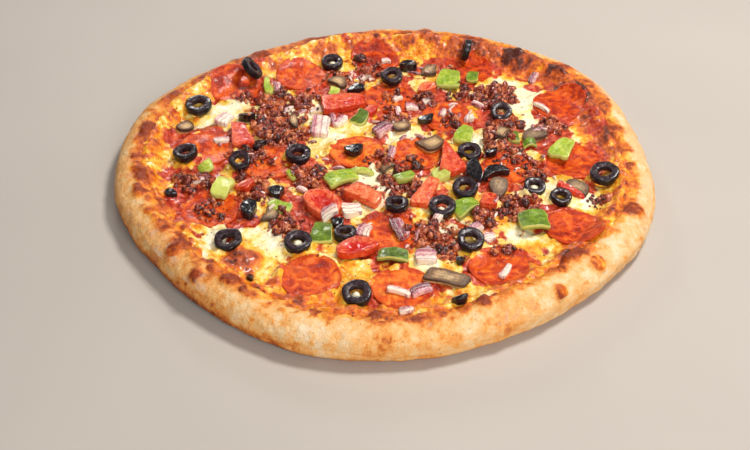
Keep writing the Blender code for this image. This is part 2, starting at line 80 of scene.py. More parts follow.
# Cheese
GAP = 0.3
CHEESE_THICK = 3.6
CHEESE_SLOPE_THICK = 2.4
CHEESE_EDGE_THICK = 0.35
CHEESE_LUMP = 0.28
CHEESE_WAVES = ((61, 15, 0.4), (47, 78, 2.1), (38, 130, 4.0), (31, 52, 1.2), (27, 165, 5.1), (22, 100, 3.3))
CHEESE_EDGE_INSET = 18.5
CHEESE_EDGE_WAVES = ((1, 4.5, 270), (6, 0.8, 20), (9, 0.9, 7), (14, 0.7, 11))
CHEESE_CELLS = 296
RIM_BUBBLES = 760

# Toppings that are solids of their own. Pepperoni: x, y, diameter
PEPPERONI = (
    (-106, 87, 37), (-59, 104, 38), (-7, 128, 37), (61, 117, 37), (122, 73, 38),
    (124, 6, 38), (116, -63, 37), (69, -100, 38), (11, -120, 37), (-42, -111, 37),
    (-107, -51, 37), (-117, 13, 38), (-74, -2, 36), (-18, 13, 37), (22, 12, 36),
    (3, 77, 36), (43, 55, 36), (78, -4, 36), (3, -69, 36),
)
PEPPERONI_THICK = 1.7
PEPPERONI_TURNS = 84
# Rings of a pepperoni round from its underside up and in over its top: share of its radius, level
PEPPERONI_RINGS = (
    (0.5, 0), (0.9, 0), (0.985, 0.1), (1.0, 0.35), (1.0, 0.7), (0.985, 0.92), (0.95, 1), (0.9, 1), (0.84, 1),
    (0.76, 1), (0.68, 1), (0.58, 1), (0.48, 1), (0.38, 1), (0.28, 1), (0.18, 1), (0.08, 1),
)
# How orange each round is: dark red at 0, orange at 1. The rounds at the back are set darker, those at the
# front more orange
PEPPERONI_TONES = (
    0.15, 0.4, 0, 0.1, 0.25, 0.3, 0.35, 0.45, 0.8, 0.6, 0.4, 0.5, 0.6, 1, 0.8, 0.6, 0.6, 0.6, 0.6,
)
# Olive slices: x, y, diameter, tilt and the direction they lean in
OLIVES = (
    (-127, 56, 18, 4, 250), (-129, 2, 16, 8, 200), (-93, -6, 14, 22, 265), (-56, 3, 17, 5, 300),
    (-92, -85, 17, 8, 240), (-51, -83, 17, 6, 280), (-15, -128, 17, 10, 265), (-23, -74, 14, 6, 90),
    (52, -81, 17, 10, 290), (36, -49, 17, 6, 260), (8, -47, 15, 6, 90), (51, -30, 16, 16, 240),
    (95, -26, 14, 12, 280), (111, -35, 14, 8, 300), (141, -14, 18, 12, 220), (56, 12, 16, 4, 250),
    (80, 57, 15, 20, 265), (-38, 119, 16, 8, 260), (5, 97, 15, 14, 270), (-94, 95, 17.5, 48, 8),
    (59, 127, 16, 78, 175),
)
OLIVE_THICK = 4.9
OLIVE_WALL = 0.27
OLIVE_TURNS = 56
OLIVE_SECTION = 20
OLIVE_ROWS = tuple((x, y, diameter, diameter, 0) for x, y, diameter, _, _ in OLIVES)
# Olive slices with melted cheese in the hole, by their place in the list
OLIVES_WITH_CHEESE = (2, 5, 6, 9, 12, 16, 17)
# Cut pieces: x, y, length, width, turn
TOMATOES = (
    (-96, 27, 26, 15, 105), (-38, -46, 28, 21, 125), (-12, -36, 24, 12, -38), (27, -33, 29, 13, 68),
    (42, 4, 35, 17, 97), (-15, -90, 25, 14, 18), (-29, 67, 29, 20, 12),
)
TOMATO_THICK = 5.0
# How pale each piece of tomato is, from skin red at 0 to the salmon of its flesh at 1
TOMATO_TONES = (0.3, 0.6, 0.9, 0.75, 0.4, 0.3, 0.4)
PEPPERS = (
    (-101, -33, 18, 12, 75), (-37, -73, 18, 12, 85), (6, -93, 19, 9, -4), (-27, -18, 21, 12, 25),
    (54, 31, 18, 13, 70), (51, -45, 18, 13, 35), (91, -62, 18, 15, 8), (118, 15, 22, 15, 60),
    (46, 98, 22, 15, 80),
)
PEPPER_THICK = 3.2
# How pale each piece of pepper is, from skin green at 0 to the yellow green of its inside at 1
PEPPER_TONES = (0.85, 0.14, 0.1, 0.5, 0.5, 0.36, 0.2, 0.6, 0.48)
MUSHROOMS = ((37, -112, 25, 11, -18),)
MUSHROOM_THICK = 3.0
ONIONS = ((-43, 40, 22, 12, 88),)
ONION_THICK = 4.0
CUT_ROWS = TOMATOES + PEPPERS + MUSHROOMS + ONIONS
# Rings of a cut piece from its underside up and in over its top: share of its outline, level
SLAB_ROWS = (
    (0.5, 0.0), (0.93, 0.0), (0.985, 0.05), (1.0, 0.2), (1.0, 0.6), (1.0, 0.87), (0.99, 0.96), (0.965, 1.0),
    (0.9, 1.01), (0.78, 1.02), (0.6, 1.03), (0.42, 1.04), (0.22, 1.04),
)
# How far small pieces bow sideways, in turn
BOWS = (-1, 0.5, 1)
# Where a small piece feels for what is under it, as a share of its size, and its steepest slope
REST_REACH = 0.36
STEEPEST_REST = 0.5
SLIVERS = 120

# Browned bubbles: x, y, radius, height
BLISTERS = (
    (-81, -99, 11, 4.5), (110, -93, 9, 2.2), (125, -100, 6, 2.2), (154, -52, 7, 2.4),
    (-122, -97, 6, 2.0), (-106, -117, 5, 1.8), (-86, -122, 7, 2.0), (-3, -146, 5, 2.0),
    (101, -125, 5, 2.0), (-151, -23, 8, 1.8), (-155, 22, 7, 1.8), (150, 30, 8, 1.6),
    (128, 108, 9, 2.0), (95, 128, 9, 2.2), (30, 155, 8, 1.8), (-55, 145, 7, 1.8),
    (-92, 126, 6, 1.8), (56, -138, 5, 1.6), (-63, -116, 5, 1.4), (-151, -42, 6, 1.4),
)

# Crumbled sausage: x, y, spread, number of crumbs
SAUSAGE_CLUSTERS = (
    (-73, 41, 15, 9), (-70, 24, 9, 3), (-121, -23, 10, 3), (-80, -29, 13, 6), (-48, -15, 9, 4),
    (8, -21, 11, 4), (30, -75, 14, 8), (78, 17, 13, 5), (98, -9, 7, 3), (84, -43, 12, 6),
    (79, 83, 13, 6), (82, 46, 12, 3), (27, 77, 9, 3), (9, 47, 9, 3), (-34, 98, 9, 2),
    (-75, 70, 13, 4), (112, 45, 8, 2), (-60, -63, 9, 3), (-8, 104, 12, 2), (61, -54, 10, 3),
    (-55, 70, 11, 3),
)
MEAT_PATCHES = [(x, y, spread * 1.05, spread * 1.05, 0.9) for x, y, spread, _ in SAUSAGE_CLUSTERS]
CRUMB_SIZE = (2.8, 4.6)
CRUMB_CLEARANCE = 0.8
# More crumbs on top of other toppings, in the same form
LOOSE_CLUSTERS = (
    (-107, -53, 8, 7), (19, 0, 7, 5), (-29, -28, 7, 5), (18, -23, 8, 6), (62, 87, 8, 6),
    (-16, 121, 7, 4), (40, -89, 7, 5), (51, 80, 7, 5), (60, -46, 7, 5), (116, 45, 6, 4),
    (135, -36, 5, 4), (-94, 6, 8, 5), (-60, 30, 9, 6), (-79, 3, 7, 3), (90, 2, 8, 5),
    (-5, 0, 7, 4), (47, 47, 7, 3), (3, 72, 8, 3), (-84, 47, 10, 6), (70, -88, 6, 3),
    (-100, 73, 5, 4), (48, 109, 6, 4),
)

# Small toppings fused to the cheese: x, y, length, width, height, turn
SMALL_OLIVES = (
    (-94, 50, 12, 9, 5, 10), (-82, -53, 14, 10, 6, 80), (46, -96, 6, 5, 4, 60), (43, -132, 10, 6, 4, 20),
    (17, 118, 13, 11, 6, 0), (-66, -34, 11, 9, 5, 70), (-28, -62, 8, 7, 4, 0), (-133, -37, 8, 6, 3, 20),
    (-75, -116, 7, 4, 3, 90),
)
SMALL_MUSHROOMS = (
    (11, 41, 14, 10, 3.5, 30), (101, 32, 18, 13, 3.5, 20), (80, 35, 13, 9, 3.5, 60),
    (-134, 36, 13, 10, 3.5, 50), (33, 114, 14, 10, 3.5, 80), (-34, 93, 15, 10, 3.5, -30),
    (-70, -54, 14, 8, 3.5, 80), (-60, 44, 15, 6, 3.5, 100), (122, -25, 17, 11, 3.5, -35),
)
SMALL_TOMATOES = ((-87, -27, 13, 11, 4.5, 60), (30, 89, 15, 12, 4.5, 40), (66, -38, 15, 10, 4.5, 80))
SMALL_PEPPERS = (
    (13, -16, 13, 9, 3.5, 20), (36, -13, 13, 9, 3.5, 110), (-64, -46, 15, 9, 3.5, 160),
    (-17, 51, 13, 9, 3.5, 60), (-82, 89, 18, 6, 4, 100), (88, 31, 10, 8, 3.5, 80), (-36, 84, 9, 7, 3.5, 80),
)
SMALL_ONIONS = (
    (-30, 47, 12, 6, 3.5, 50), (-1, 36, 14, 9, 4, 40), (25, -94, 13, 11, 4, 5),
    (-20, -50, 13, 10, 4, 20), (56, -66, 9, 7, 3.5, 35), (-108, 46, 13, 9, 3.5, 60),
    (-76, 87, 11, 5, 3.5, 100), (72, 31, 11, 5, 3.5, 80), (107, 104, 9, 5, 3, 60),
)
SMALL_ROWS = [
    (x, y, length, width, turn)
    for x, y, length, width, _, turn in (
        SMALL_OLIVES + SMALL_MUSHROOMS + SMALL_TOMATOES + SMALL_PEPPERS + SMALL_ONIONS
    )
]
# Small toppings that lie on others: x, y, length, width, thickness, turn, tone
LOOSE_OLIVES = (
    (-20, 13, 12, 9, 4.5, 10, 0), (60, -9, 20, 10, 4.5, 100, 0), (72, -15, 19, 7, 4.5, 25, 0),
    (28, 50, 11, 7, 4, 20, 0), (-20, 86, 13, 7, 4, 10, 0), (-81, 16, 12, 7, 4, 60, 0),
    (70, 12, 9, 6, 4, 30, 0),
)
LOOSE_TOMATOES = ((118, -28, 18, 4, 3, -30, 0), (-10, 58, 12, 8, 3.5, 30, 0))
LOOSE_PEPPERS = (
    (-115, -8, 9, 7, 2.6, 30, 0.6), (64, 105, 13, 8, 3, 75, 0.3), (97, 24, 9, 5, 2.5, 10, 0.1),
    (-58, -14, 8, 6, 2.6, 50, 0.5), (-14, -11, 15, 5, 3, -6, 0.66),
)
LOOSE_MUSHROOMS = ((31, 22, 17, 12, 3, 40, 0.2), (75, -25, 15, 12, 3, 70, 0.9), (2, -5, 10, 8, 3, 30, 0.7))
LOOSE_ONIONS = (
    (-108, 22, 10, 5, 2.5, 10, 0.4), (9, -124, 14, 3.6, 2.6, -20, 0.15), (22, -122, 13, 6, 3, 25, 1),
    (71, -105, 12, 4, 2.6, 60, 0.1), (10, -68, 18, 8, 3.6, 110, 0.9), (-11, -71, 13, 8, 3, 70, 0.5),
    (4, 9, 14, 5, 3, 75, 0.8), (58, 51, 8, 6, 3, 80, 0.2), (19, 65, 9, 4, 2.5, 20, 0.6),
    (40, 59, 8, 4, 2.5, 70, 0.5), (9, 75, 8, 5, 2.5, 40, 0.3), (1, 124, 7, 4, 2.5, 10, 0.4),
    (79, 85, 8, 5, 3, 60, 0.15), (109, 66, 14, 3, 2.5, -50, 0.25), (87, 13, 7, 5, 2.5, 30, 0.3),
    (13, -142, 8, 3.5, 2.5, 10, 0.4), (-14, 102, 10, 4, 3, 50, 0.5), (-33, -58, 10, 6, 3, 20, 0.3),
    (24, 30, 9, 4, 2.5, 130, 0.4), (-47, 60, 9, 4, 2.5, 20, 0.3), (33, -60, 7, 5, 3, 60, 0.2),
    (64, -72, 7, 6, 3, 20, 0.3), (109, 42, 7, 4, 2.5, 70, 0.4), (-118, -24, 9, 4, 2.5, 20, 0.5),
    (-52, -30, 8, 4, 2.5, 140, 0.3), (10, 60, 8, 4, 2.5, 100, 0.3), (65, 70, 9, 4, 2.5, 150, 0.5),
    (-36, 52, 9, 4, 2.5, 100, 0.9), (-66, 60, 8, 4, 2.5, 60, 0.4), (30, 74, 8, 4, 2.5, 40, 0.4),
)

# Patches of the cheese: x, y, radius along x, radius along y, strength
WHITE_PATCHES = (
    (-110, 62, 12, 9, 0.8), (-103, -80, 9, 13, 1.4), (-100, -96, 6, 7, 1.3), (-10, -10, 12, 9, 0.8),
    (15, 30, 13, 10, 0.9), (0, -30, 13, 11, 0.9), (60, 25, 10, 9, 0.8), (94, 73, 12, 13, 0.9),
    (86, 99, 12, 9, 0.8), (110, -18, 12, 8, 0.8), (128, -37, 11, 9, 0.8), (80, -70, 9, 8, 0.8),
    (60, -85, 9, 8, 0.7), (-66, -84, 9, 8, 0.7), (-55, 70, 10, 9, 0.7), (18, 152, 12, 5, 0.6),
    (-67, -70, 9, 8, 0.8), (24, -100, 7, 7, 0.8), (37, -66, 8, 7, 0.7), (100, 50, 10, 8, 0.6),
    (-30, 30, 11, 9, 0.7), (-100, 70, 8, 6, 0.7), (47, -143, 6, 4, 0.7), (70, 30, 8, 8, 0.6),
    (-33, -95, 8, 6, 0.5), (-65, 55, 8, 8, 0.5), (-40, 22, 8, 6, 0.5), (28, -20, 7, 8, 0.8),
    (-122, 38, 9, 7, 0.5), (148, -2, 6, 9, 0.3), (106, 88, 8, 7, 0.7), (-86, -70, 7, 5, 0.6),
)
YELLOW_PATCHES = (
    (-15, -108, 13, 11, 0.7), (-42, 22, 12, 8, 0.7), (90, -85, 12, 8, 0.6), (76, -60, 9, 7, 0.6),
    (-68, -98, 11, 8, 0.5), (40, -120, 10, 8, 0.4), (-20, -98, 9, 6, 0.6), (-66, -22, 9, 6, 0.3),
    (-98, -68, 9, 6, 0.4), (-24, 34, 10, 7, 0.5), (85, -82, 8, 6, 0.5), (100, 60, 10, 8, 0.4),
)
SAUCE_PATCHES = (
    (-144, 28, 4, 12, 0.8), (-139, -12, 5, 12, 0.8), (-131, -44, 6, 11, 0.9), (-124, -64, 7, 9, 0.8),
    (-113, -76, 8, 5, 0.6), (-90, 113, 9, 7, 0.7), (146, 48, 7, 13, 0.9), (141, 28, 6, 12, 0.6),
    (144, 6, 5, 12, 0.5), (-38, 143, 12, 5, 0.6), (-90, -60, 10, 8, 0.5), (-112, 34, 8, 8, 0.5),
    (-60, -50, 9, 8, 0.5), (-20, 60, 10, 8, 0.5), (66, -20, 9, 8, 0.6), (70, 60, 9, 8, 0.5),
    (10, -55, 10, 6, 0.5), (84, -25, 8, 8, 0.5), (-62, 16, 8, 10, 0.6), (50, 75, 10, 8, 0.5),
    (95, -42, 8, 6, 0.4), (-128, -20, 8, 10, 0.7), (38, 90, 8, 8, 0.4), (120, 100, 9, 8, 0.5),
)
BROWN_PATCHES = (
    (-81, -99, 10, 9, 0.65), (-125, -96, 4, 8, 0.5), (-107, -107, 8, 4, 0.6), (-107, -119, 3.5, 4.5, 0.9),
    (-99, -120, 3, 3.5, 0.5), (-87, -122, 7, 6, 0.6), (-79, -131, 2.4, 3.4, 1.0), (-64, -116, 4.5, 4, 0.7),
    (-45, -134, 5, 4, 0.4), (-16, -143, 5, 4, 0.6), (-3, -147, 4.4, 7, 0.9), (56, -137, 3.6, 4.4, 0.6),
    (101, -126, 3.6, 5, 0.8), (97, -111, 4, 6, 0.5), (109, -94, 7, 6, 0.9), (117, -92, 5, 5, 0.8),
    (125, -87, 7, 3, 0.6), (125, -101, 4.5, 5, 0.9), (141, -72, 2.4, 3.2, 0.7), (154, -53, 7, 7, 0.8),
    (161, -7, 2.4, 3, 0.7), (169, -7, 2.2, 2.6, 0.7), (152, -26, 4, 4, 0.5), (-157, 45, 3, 2.6, 0.6),
    (-157, 23, 4, 7, 0.7), (-151, 13, 4, 4, 0.6), (-156, -4, 4, 3, 0.6), (-151, -24, 6, 9, 0.6),
    (-151, -41, 4, 2.4, 0.9), (-146, 69, 4, 6, 0.5), (-110, 115, 5, 5, 0.6), (-91, 136, 3, 5, 0.7),
    (-56, 153, 4, 4, 0.7), (-45, 150, 5, 4, 0.5), (-7, 165, 8, 3, 0.5), (31, 160, 4, 8, 0.7),
    (19, 145, 5, 5, 0.5), (96, 128, 9, 12, 0.7), (109, 135, 6, 5, 0.5), (150, 62, 5, 9, 0.6),
    (140, 88, 7, 7, 0.6), (124, 112, 8, 6, 0.5), (66, 146, 8, 5, 0.5), (156, 34, 5, 10, 0.6),
)


def heading(degrees):
    """Cosine and sine of a direction."""
    return math.cos(math.radians(degrees)), math.sin(math.radians(degrees))


def turns_of(count, start=0):
    """Angles spaced evenly round a full turn."""
    return (np.arange(count) + start) * 2 * np.pi / count


def waves_round(angle, waves):
    """Sum of cosine waves round the pizza, each with its count in a turn, height and peak."""
    total = np.zeros_like(angle)
    for count, height, peak in waves:
        total = total + height * np.cos(count * (angle - math.radians(peak)))
    return total


def outline(angle):
    """Radius of the dough's widest line: a circle with waves added."""
    return PIZZA_RADIUS + waves_round(angle, OUTLINE_WAVES)


def outline_shift():
    """Middle of the box round the outline, which becomes the origin."""
    angle = turns_of(OUTLINE_SAMPLES)
    across, along = outline(angle) * np.cos(angle), outline(angle) * np.sin(angle)
    return (across.min() + across.max()) / 2, (along.min() + along.max()) / 2


SHIFT_X, SHIFT_Y = outline_shift()


def place_at(angle, inset):
    """x and y of the places that lie inset inside the outline."""
    reach = outline(angle) - inset
    return reach * np.cos(angle) - SHIFT_X, reach * np.sin(angle) - SHIFT_Y


def inset_at(x, y):
    """How far inside the outline each place lies, and its angle round the pizza."""
    across, along = x + SHIFT_X, y + SHIFT_Y
    angle = np.arctan2(along, across)
    return outline(angle) - np.hypot(across, along), angle


def crest_height(angle):
    return RIM_HEIGHT + waves_round(angle, CREST_WAVES)


def dough_height(inset, angle):
    """Top of the dough from the flat floor up to the crest: half a cosine wave."""
    rise = np.clip((FLOOR_INSET - inset) / (FLOOR_INSET - CREST_INSET), 0, 1)
    return FLOOR_HEIGHT + (crest_height(angle) - FLOOR_HEIGHT) * (1 - np.cos(np.pi * rise)) / 2


def cheese_edge(angle):
    return CHEESE_EDGE_INSET + waves_round(angle, CHEESE_EDGE_WAVES)


def smooth_step(value, low, high):
    """0 below low, 1 above high, and a smooth ramp between them."""
    share = np.clip((value - low) / (high - low), 0, 1)
    return share * share * (3 - 2 * share)


def hashed(across, along, seed):
    """A repeatable number from 0 to 1 for each pair of whole numbers: the end of a large sine."""
    value = np.sin(across * 127.1 + along * 311.7 + seed * 74.7) * 43758.5453
    return value - np.floor(value)


def grain(x, y, size, seed):
    """Smooth noise from -1 to 1: values at the corners of a square lattice, joined smoothly."""
    left, front = np.floor(x / size), np.floor(y / size)
    across, along = x / size - left, y / size - front
    across, along = across * across * (3 - 2 * across), along * along * (3 - 2 * along)
    near = hashed(left, front, seed) * (1 - across) + hashed(left + 1, front, seed) * across
    far = hashed(left, front + 1, seed) * (1 - across) + hashed(left + 1, front + 1, seed) * across
    return 2 * (near * (1 - along) + far * along) - 1


def round_grain(turns, radius, size, seed):
    """Grain along a circle, so that it closes on itself."""
    return grain(radius * np.cos(turns), radius * np.sin(turns), size, seed)


def rough(x, y, size, seed, layers=3):
    """Layers of grain, each half the size of the last and a little over half as strong."""
    total, strength, most = 0, 1, 0
    for layer in range(layers):
        total = total + strength * grain(x + 17 * layer, y - 11 * layer, size / 2**layer, seed + layer)
        most, strength = most + strength, strength * 0.6
    return total / most


def blobs(x, y, size, seed):
    """Domes packed side by side, one in each cell of a jittered lattice: height, 0 to about 0.7,
    and the number, 0 to 1, of the dome that each place lies on."""
    left, front = np.floor(x / size), np.floor(y / size)
    height, number = np.zeros_like(x), np.zeros_like(x)
    for across in (-1, 0, 1):
        for along in (-1, 0, 1):
            cx, cy = left + across, front + along
            px = (cx + 0.15 + 0.7 * hashed(cx, cy, seed)) * size
            py = (cy + 0.15 + 0.7 * hashed(cx, cy, seed + 1)) * size
            radius = size * (0.35 + 0.4 * hashed(cx, cy, seed + 2))
            dome = np.clip(1 - ((x - px) ** 2 + (y - py) ** 2) / radius**2, 0, 1) ** 0.7 * radius / size
            higher = dome > height
            height = np.where(higher, dome, height)
            number = np.where(higher, hashed(cx, cy, seed + 3), number)
    return height, number


def unit_random(seed):
    """A repeatable stream of numbers from 0 to 1: the fractional part of growing sines."""
    count = seed * 7919.0
    while True:
        count += 1
        value = math.sin(count * 12.9898) * 43758.5453
        yield value - math.floor(value)


def cheese_relief(x, y):
    """Lumps of the baked cheese as six long sine waves, and bubbles as rounded bells."""
    height = np.zeros_like(x)
    for length, direction, start in CHEESE_WAVES:
        c, s = heading(direction)
        height = height + CHEESE_LUMP * np.sin(2 * np.pi * (x * c + y * s) / length + start)
    for bx, by, radius, rise in BLISTERS:
        height = height + rise * np.exp(-1.4 * ((x - bx) ** 2 + (y - by) ** 2) / radius**2)
    return height


def cheese_level(x, y):
    """The cheese's top: thin at its edge, thicker down the slope, full on the floor."""
    inset, angle = inset_at(x, y)
    edge = cheese_edge(angle)
    step = np.clip((inset - edge) / (FLOOR_INSET - edge), 0, 1)
    thick = CHEESE_SLOPE_THICK + (CHEESE_THICK - CHEESE_SLOPE_THICK) * step + cheese_relief(x, y)
    taper = smooth_step(step, -0.05, 0.3)
    return dough_height(inset, angle) + GAP + CHEESE_EDGE_THICK + (thick - CHEESE_EDGE_THICK) * taper


def near_to(x, y, cx, cy, wide, deep):
    """Which points lie in a box round a place."""
    return np.nonzero((np.abs(x - cx) < wide) & (np.abs(y - cy) < deep))


def patch_sum(x, y, patches, sharp=2):
    """Sum of bells with ragged edges, one for each patch; sharper ones have flatter tops."""
    total = np.zeros_like(x)
    wander_x, wander_y = 3.2 * grain(x, y, 5.5, 3), 3.2 * grain(x, y, 5.5, 9)
    for cx, cy, wide, deep, strength in patches:
        reach = 1 / (1 + 12 / (wide + deep))
        px, py = x + wander_x * reach, y + wander_y * reach
        near = near_to(px, py, cx, cy, 2.4 * wide, 2.4 * deep)
        away = np.hypot((px[near] - cx) / wide, (py[near] - cy) / deep)
        total[near] += strength * np.exp(-(away**sharp))
    return total


def rim_bubbles():
    """Small baked bubbles along the rim: x, y, radius, height, browning; fewer at the front."""
    draw = unit_random(23)
    rows = []
    while len(rows) < RIM_BUBBLES:
        angle = 2 * math.pi * next(draw)
        front = max(0.0, -math.sin(angle))
        inset = 10 + 26 * next(draw) + 6 * front
        keep, size, brown = next(draw), next(draw), next(draw)
        if keep < 0.6 * front or inset < 13 + 6 * max(0.0, math.cos(angle)):
            continue
        x, y = place_at(np.array(angle), inset)
        radius = 1.2 + 3.4 * size**2.2
        rows.append((float(x), float(y), radius, 0.4 * radius + 0.2, 0.1 + 0.75 * brown**1.5))
    return rows


def big_bubbles():
    """The large bubbles of the solids, drawn up a little more into domes with browned tops."""
    return [(bx, by, radius, 0.6 * rise, 0.1 + 0.06 * rise) for bx, by, radius, rise in BLISTERS]


def bubbles_on(x, y, rows):
    """Height and browning that a list of bubbles adds at each place: domes with browned tops."""
    height, brown = np.zeros_like(x), np.zeros_like(x)
    for bx, by, radius, rise, shade in rows:
        near = near_to(x, y, bx, by, 1.7 * radius, 1.7 * radius)
        away = np.hypot(x[near] - bx, y[near] - by) / radius
        height[near] = np.maximum(height[near], rise * np.exp(-1.6 * away**4))
        brown[near] = np.maximum(brown[near], shade * np.exp(-1.3 * away**3))
    return height, brown


def disc_places(cells):
    """A square grid bent into a disc: each square ring of the grid becomes a circle of it."""
    line = np.linspace(-1, 1, cells + 1)
    u, v = np.meshgrid(line, line)
    wide = np.abs(u) > np.abs(v)
    reach = np.where(wide, u, v)
    safe = np.where(reach == 0, 1, reach)
    turn = np.where(wide, np.pi / 4 * v / safe, np.pi / 2 - np.pi / 4 * u / safe)
    return np.abs(reach), np.arctan2(reach * np.sin(turn), reach * np.cos(turn))


def ring_skin(rings, low, high):
    """A closed surface: a pole, then rings of points that run anticlockwise seen from above, each
    joined to the next, out along the underside, up the side and in over the top, and a last pole."""
    rows, turns = rings.shape[:2]
    points = np.vstack([np.reshape(low, (1, 3)), rings.reshape(-1, 3), np.reshape(high, (1, 3))])
    here = 1 + np.arange(turns)
    after = 1 + (np.arange(turns) + 1) % turns
    steps = (np.arange(rows - 1) * turns)[:, None]
    quads = np.stack([here + steps, after + steps, after + steps + turns, here + steps + turns], -1)
    top = (rows - 1) * turns
    low_fan = np.stack([np.zeros(turns, int), after, here], 1)
    high_fan = np.stack([here + top, after + top, np.full(turns, rows * turns + 1)], 1)
    return points, quads.reshape(-1, 4), np.vstack([low_fan, high_fan])


def with_poles(rings, low, high):
    """A mark's values on a ring skin: one on its low pole, those on its rings, one on its high pole."""
    return np.concatenate([[low], np.ravel(rings), [high]])


def put(name, data):
    """A new object in the scene."""
    made = bpy.data.objects.new(name, data)
    bpy.context.scene.collection.objects.link(made)
    return made


def numbered(kind, rows):
    """Names of the solids of one kind."""
    return [f"{kind}_{index + 1:02d}" for index in range(len(rows))]


class Piece:
    """Closed surfaces of one kind, gathered into one mesh, with a value per point for each mark."""

    def __init__(self, name, *marks):
        self.name, self.count = name, 0
        self.points, self.quads, self.tris = [], [], []
        self.marks = {mark: [] for mark in marks}

    def add(self, surface, **marks):
        points, quads, tris = surface
        self.points.append(points)
        self.quads.append(quads + self.count)
        self.tris.append(tris + self.count)
        for mark, values in self.marks.items():
            values.append(np.broadcast_to(marks[mark], len(points)))
        self.count += len(points)

    def make(self, material, nodes, pile=None):
        """Makes the mesh, hands it to the pizza's body and, where asked, adds it to the pile."""
        points, quads, tris = np.vstack(self.points) * MM, np.vstack(self.quads), np.vstack(self.tris)
        mesh = bpy.data.meshes.new(self.name)
        mesh.from_pydata(points.tolist(), [], quads.tolist() + tris.tolist())
        mesh.validate()
        mesh.shade_smooth()
        for mark, values in self.marks.items():
            layer = mesh.attributes.new(mark, "FLOAT", "POINT")
            layer.data.foreach_set("value", np.concatenate(values).astype(np.float32))
        mesh.materials.append(material)
        made = put(self.name, mesh)
        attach(made, "root")
        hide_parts(*nodes)
        if pile is not None:
            pile.add(points, quads, tris)


class Pile:
    """What lies on the dough so far, for setting small pieces down on it."""

    def __init__(self):
        self.trees = []

    def add(self, points, quads, tris):
        faces = np.concatenate([quads[:, :3], quads[:, [0, 2, 3]], tris])
        self.trees.append(BVHTree.FromPolygons(points.tolist(), faces.tolist(), all_triangles=True))

    def top(self, x, y):
        """Height of the highest surface under a place, in millimetres."""
        best = 0.0
        for tree in self.trees:
            hit = tree.ray_cast(Vector((x * MM, y * MM, 0.2)), Vector((0, 0, -1)))[0]
            if hit is not None:
                best = max(best, hit.z / MM)
        return best

    def rest(self, x, y, length, width, turn):
        """Height and slopes of the plane through the surface under an oblong: its middle and ends."""
        c, s = heading(turn)
        heights, slopes = [], []
        for dx, dy, size in ((c, s, length), (-s, c, width)):
            reach = size * REST_REACH
            ends = [self.top(x + side * dx * reach, y + side * dy * reach) for side in (1, -1)]
            heights += ends
            slope = (ends[0] - ends[1]) / (2 * reach)
            slopes.append(max(-STEEPEST_REST, min(STEEPEST_REST, slope)))
        return 0.4 * self.top(x, y) + 0.6 * sum(heights) / 4, *slopes


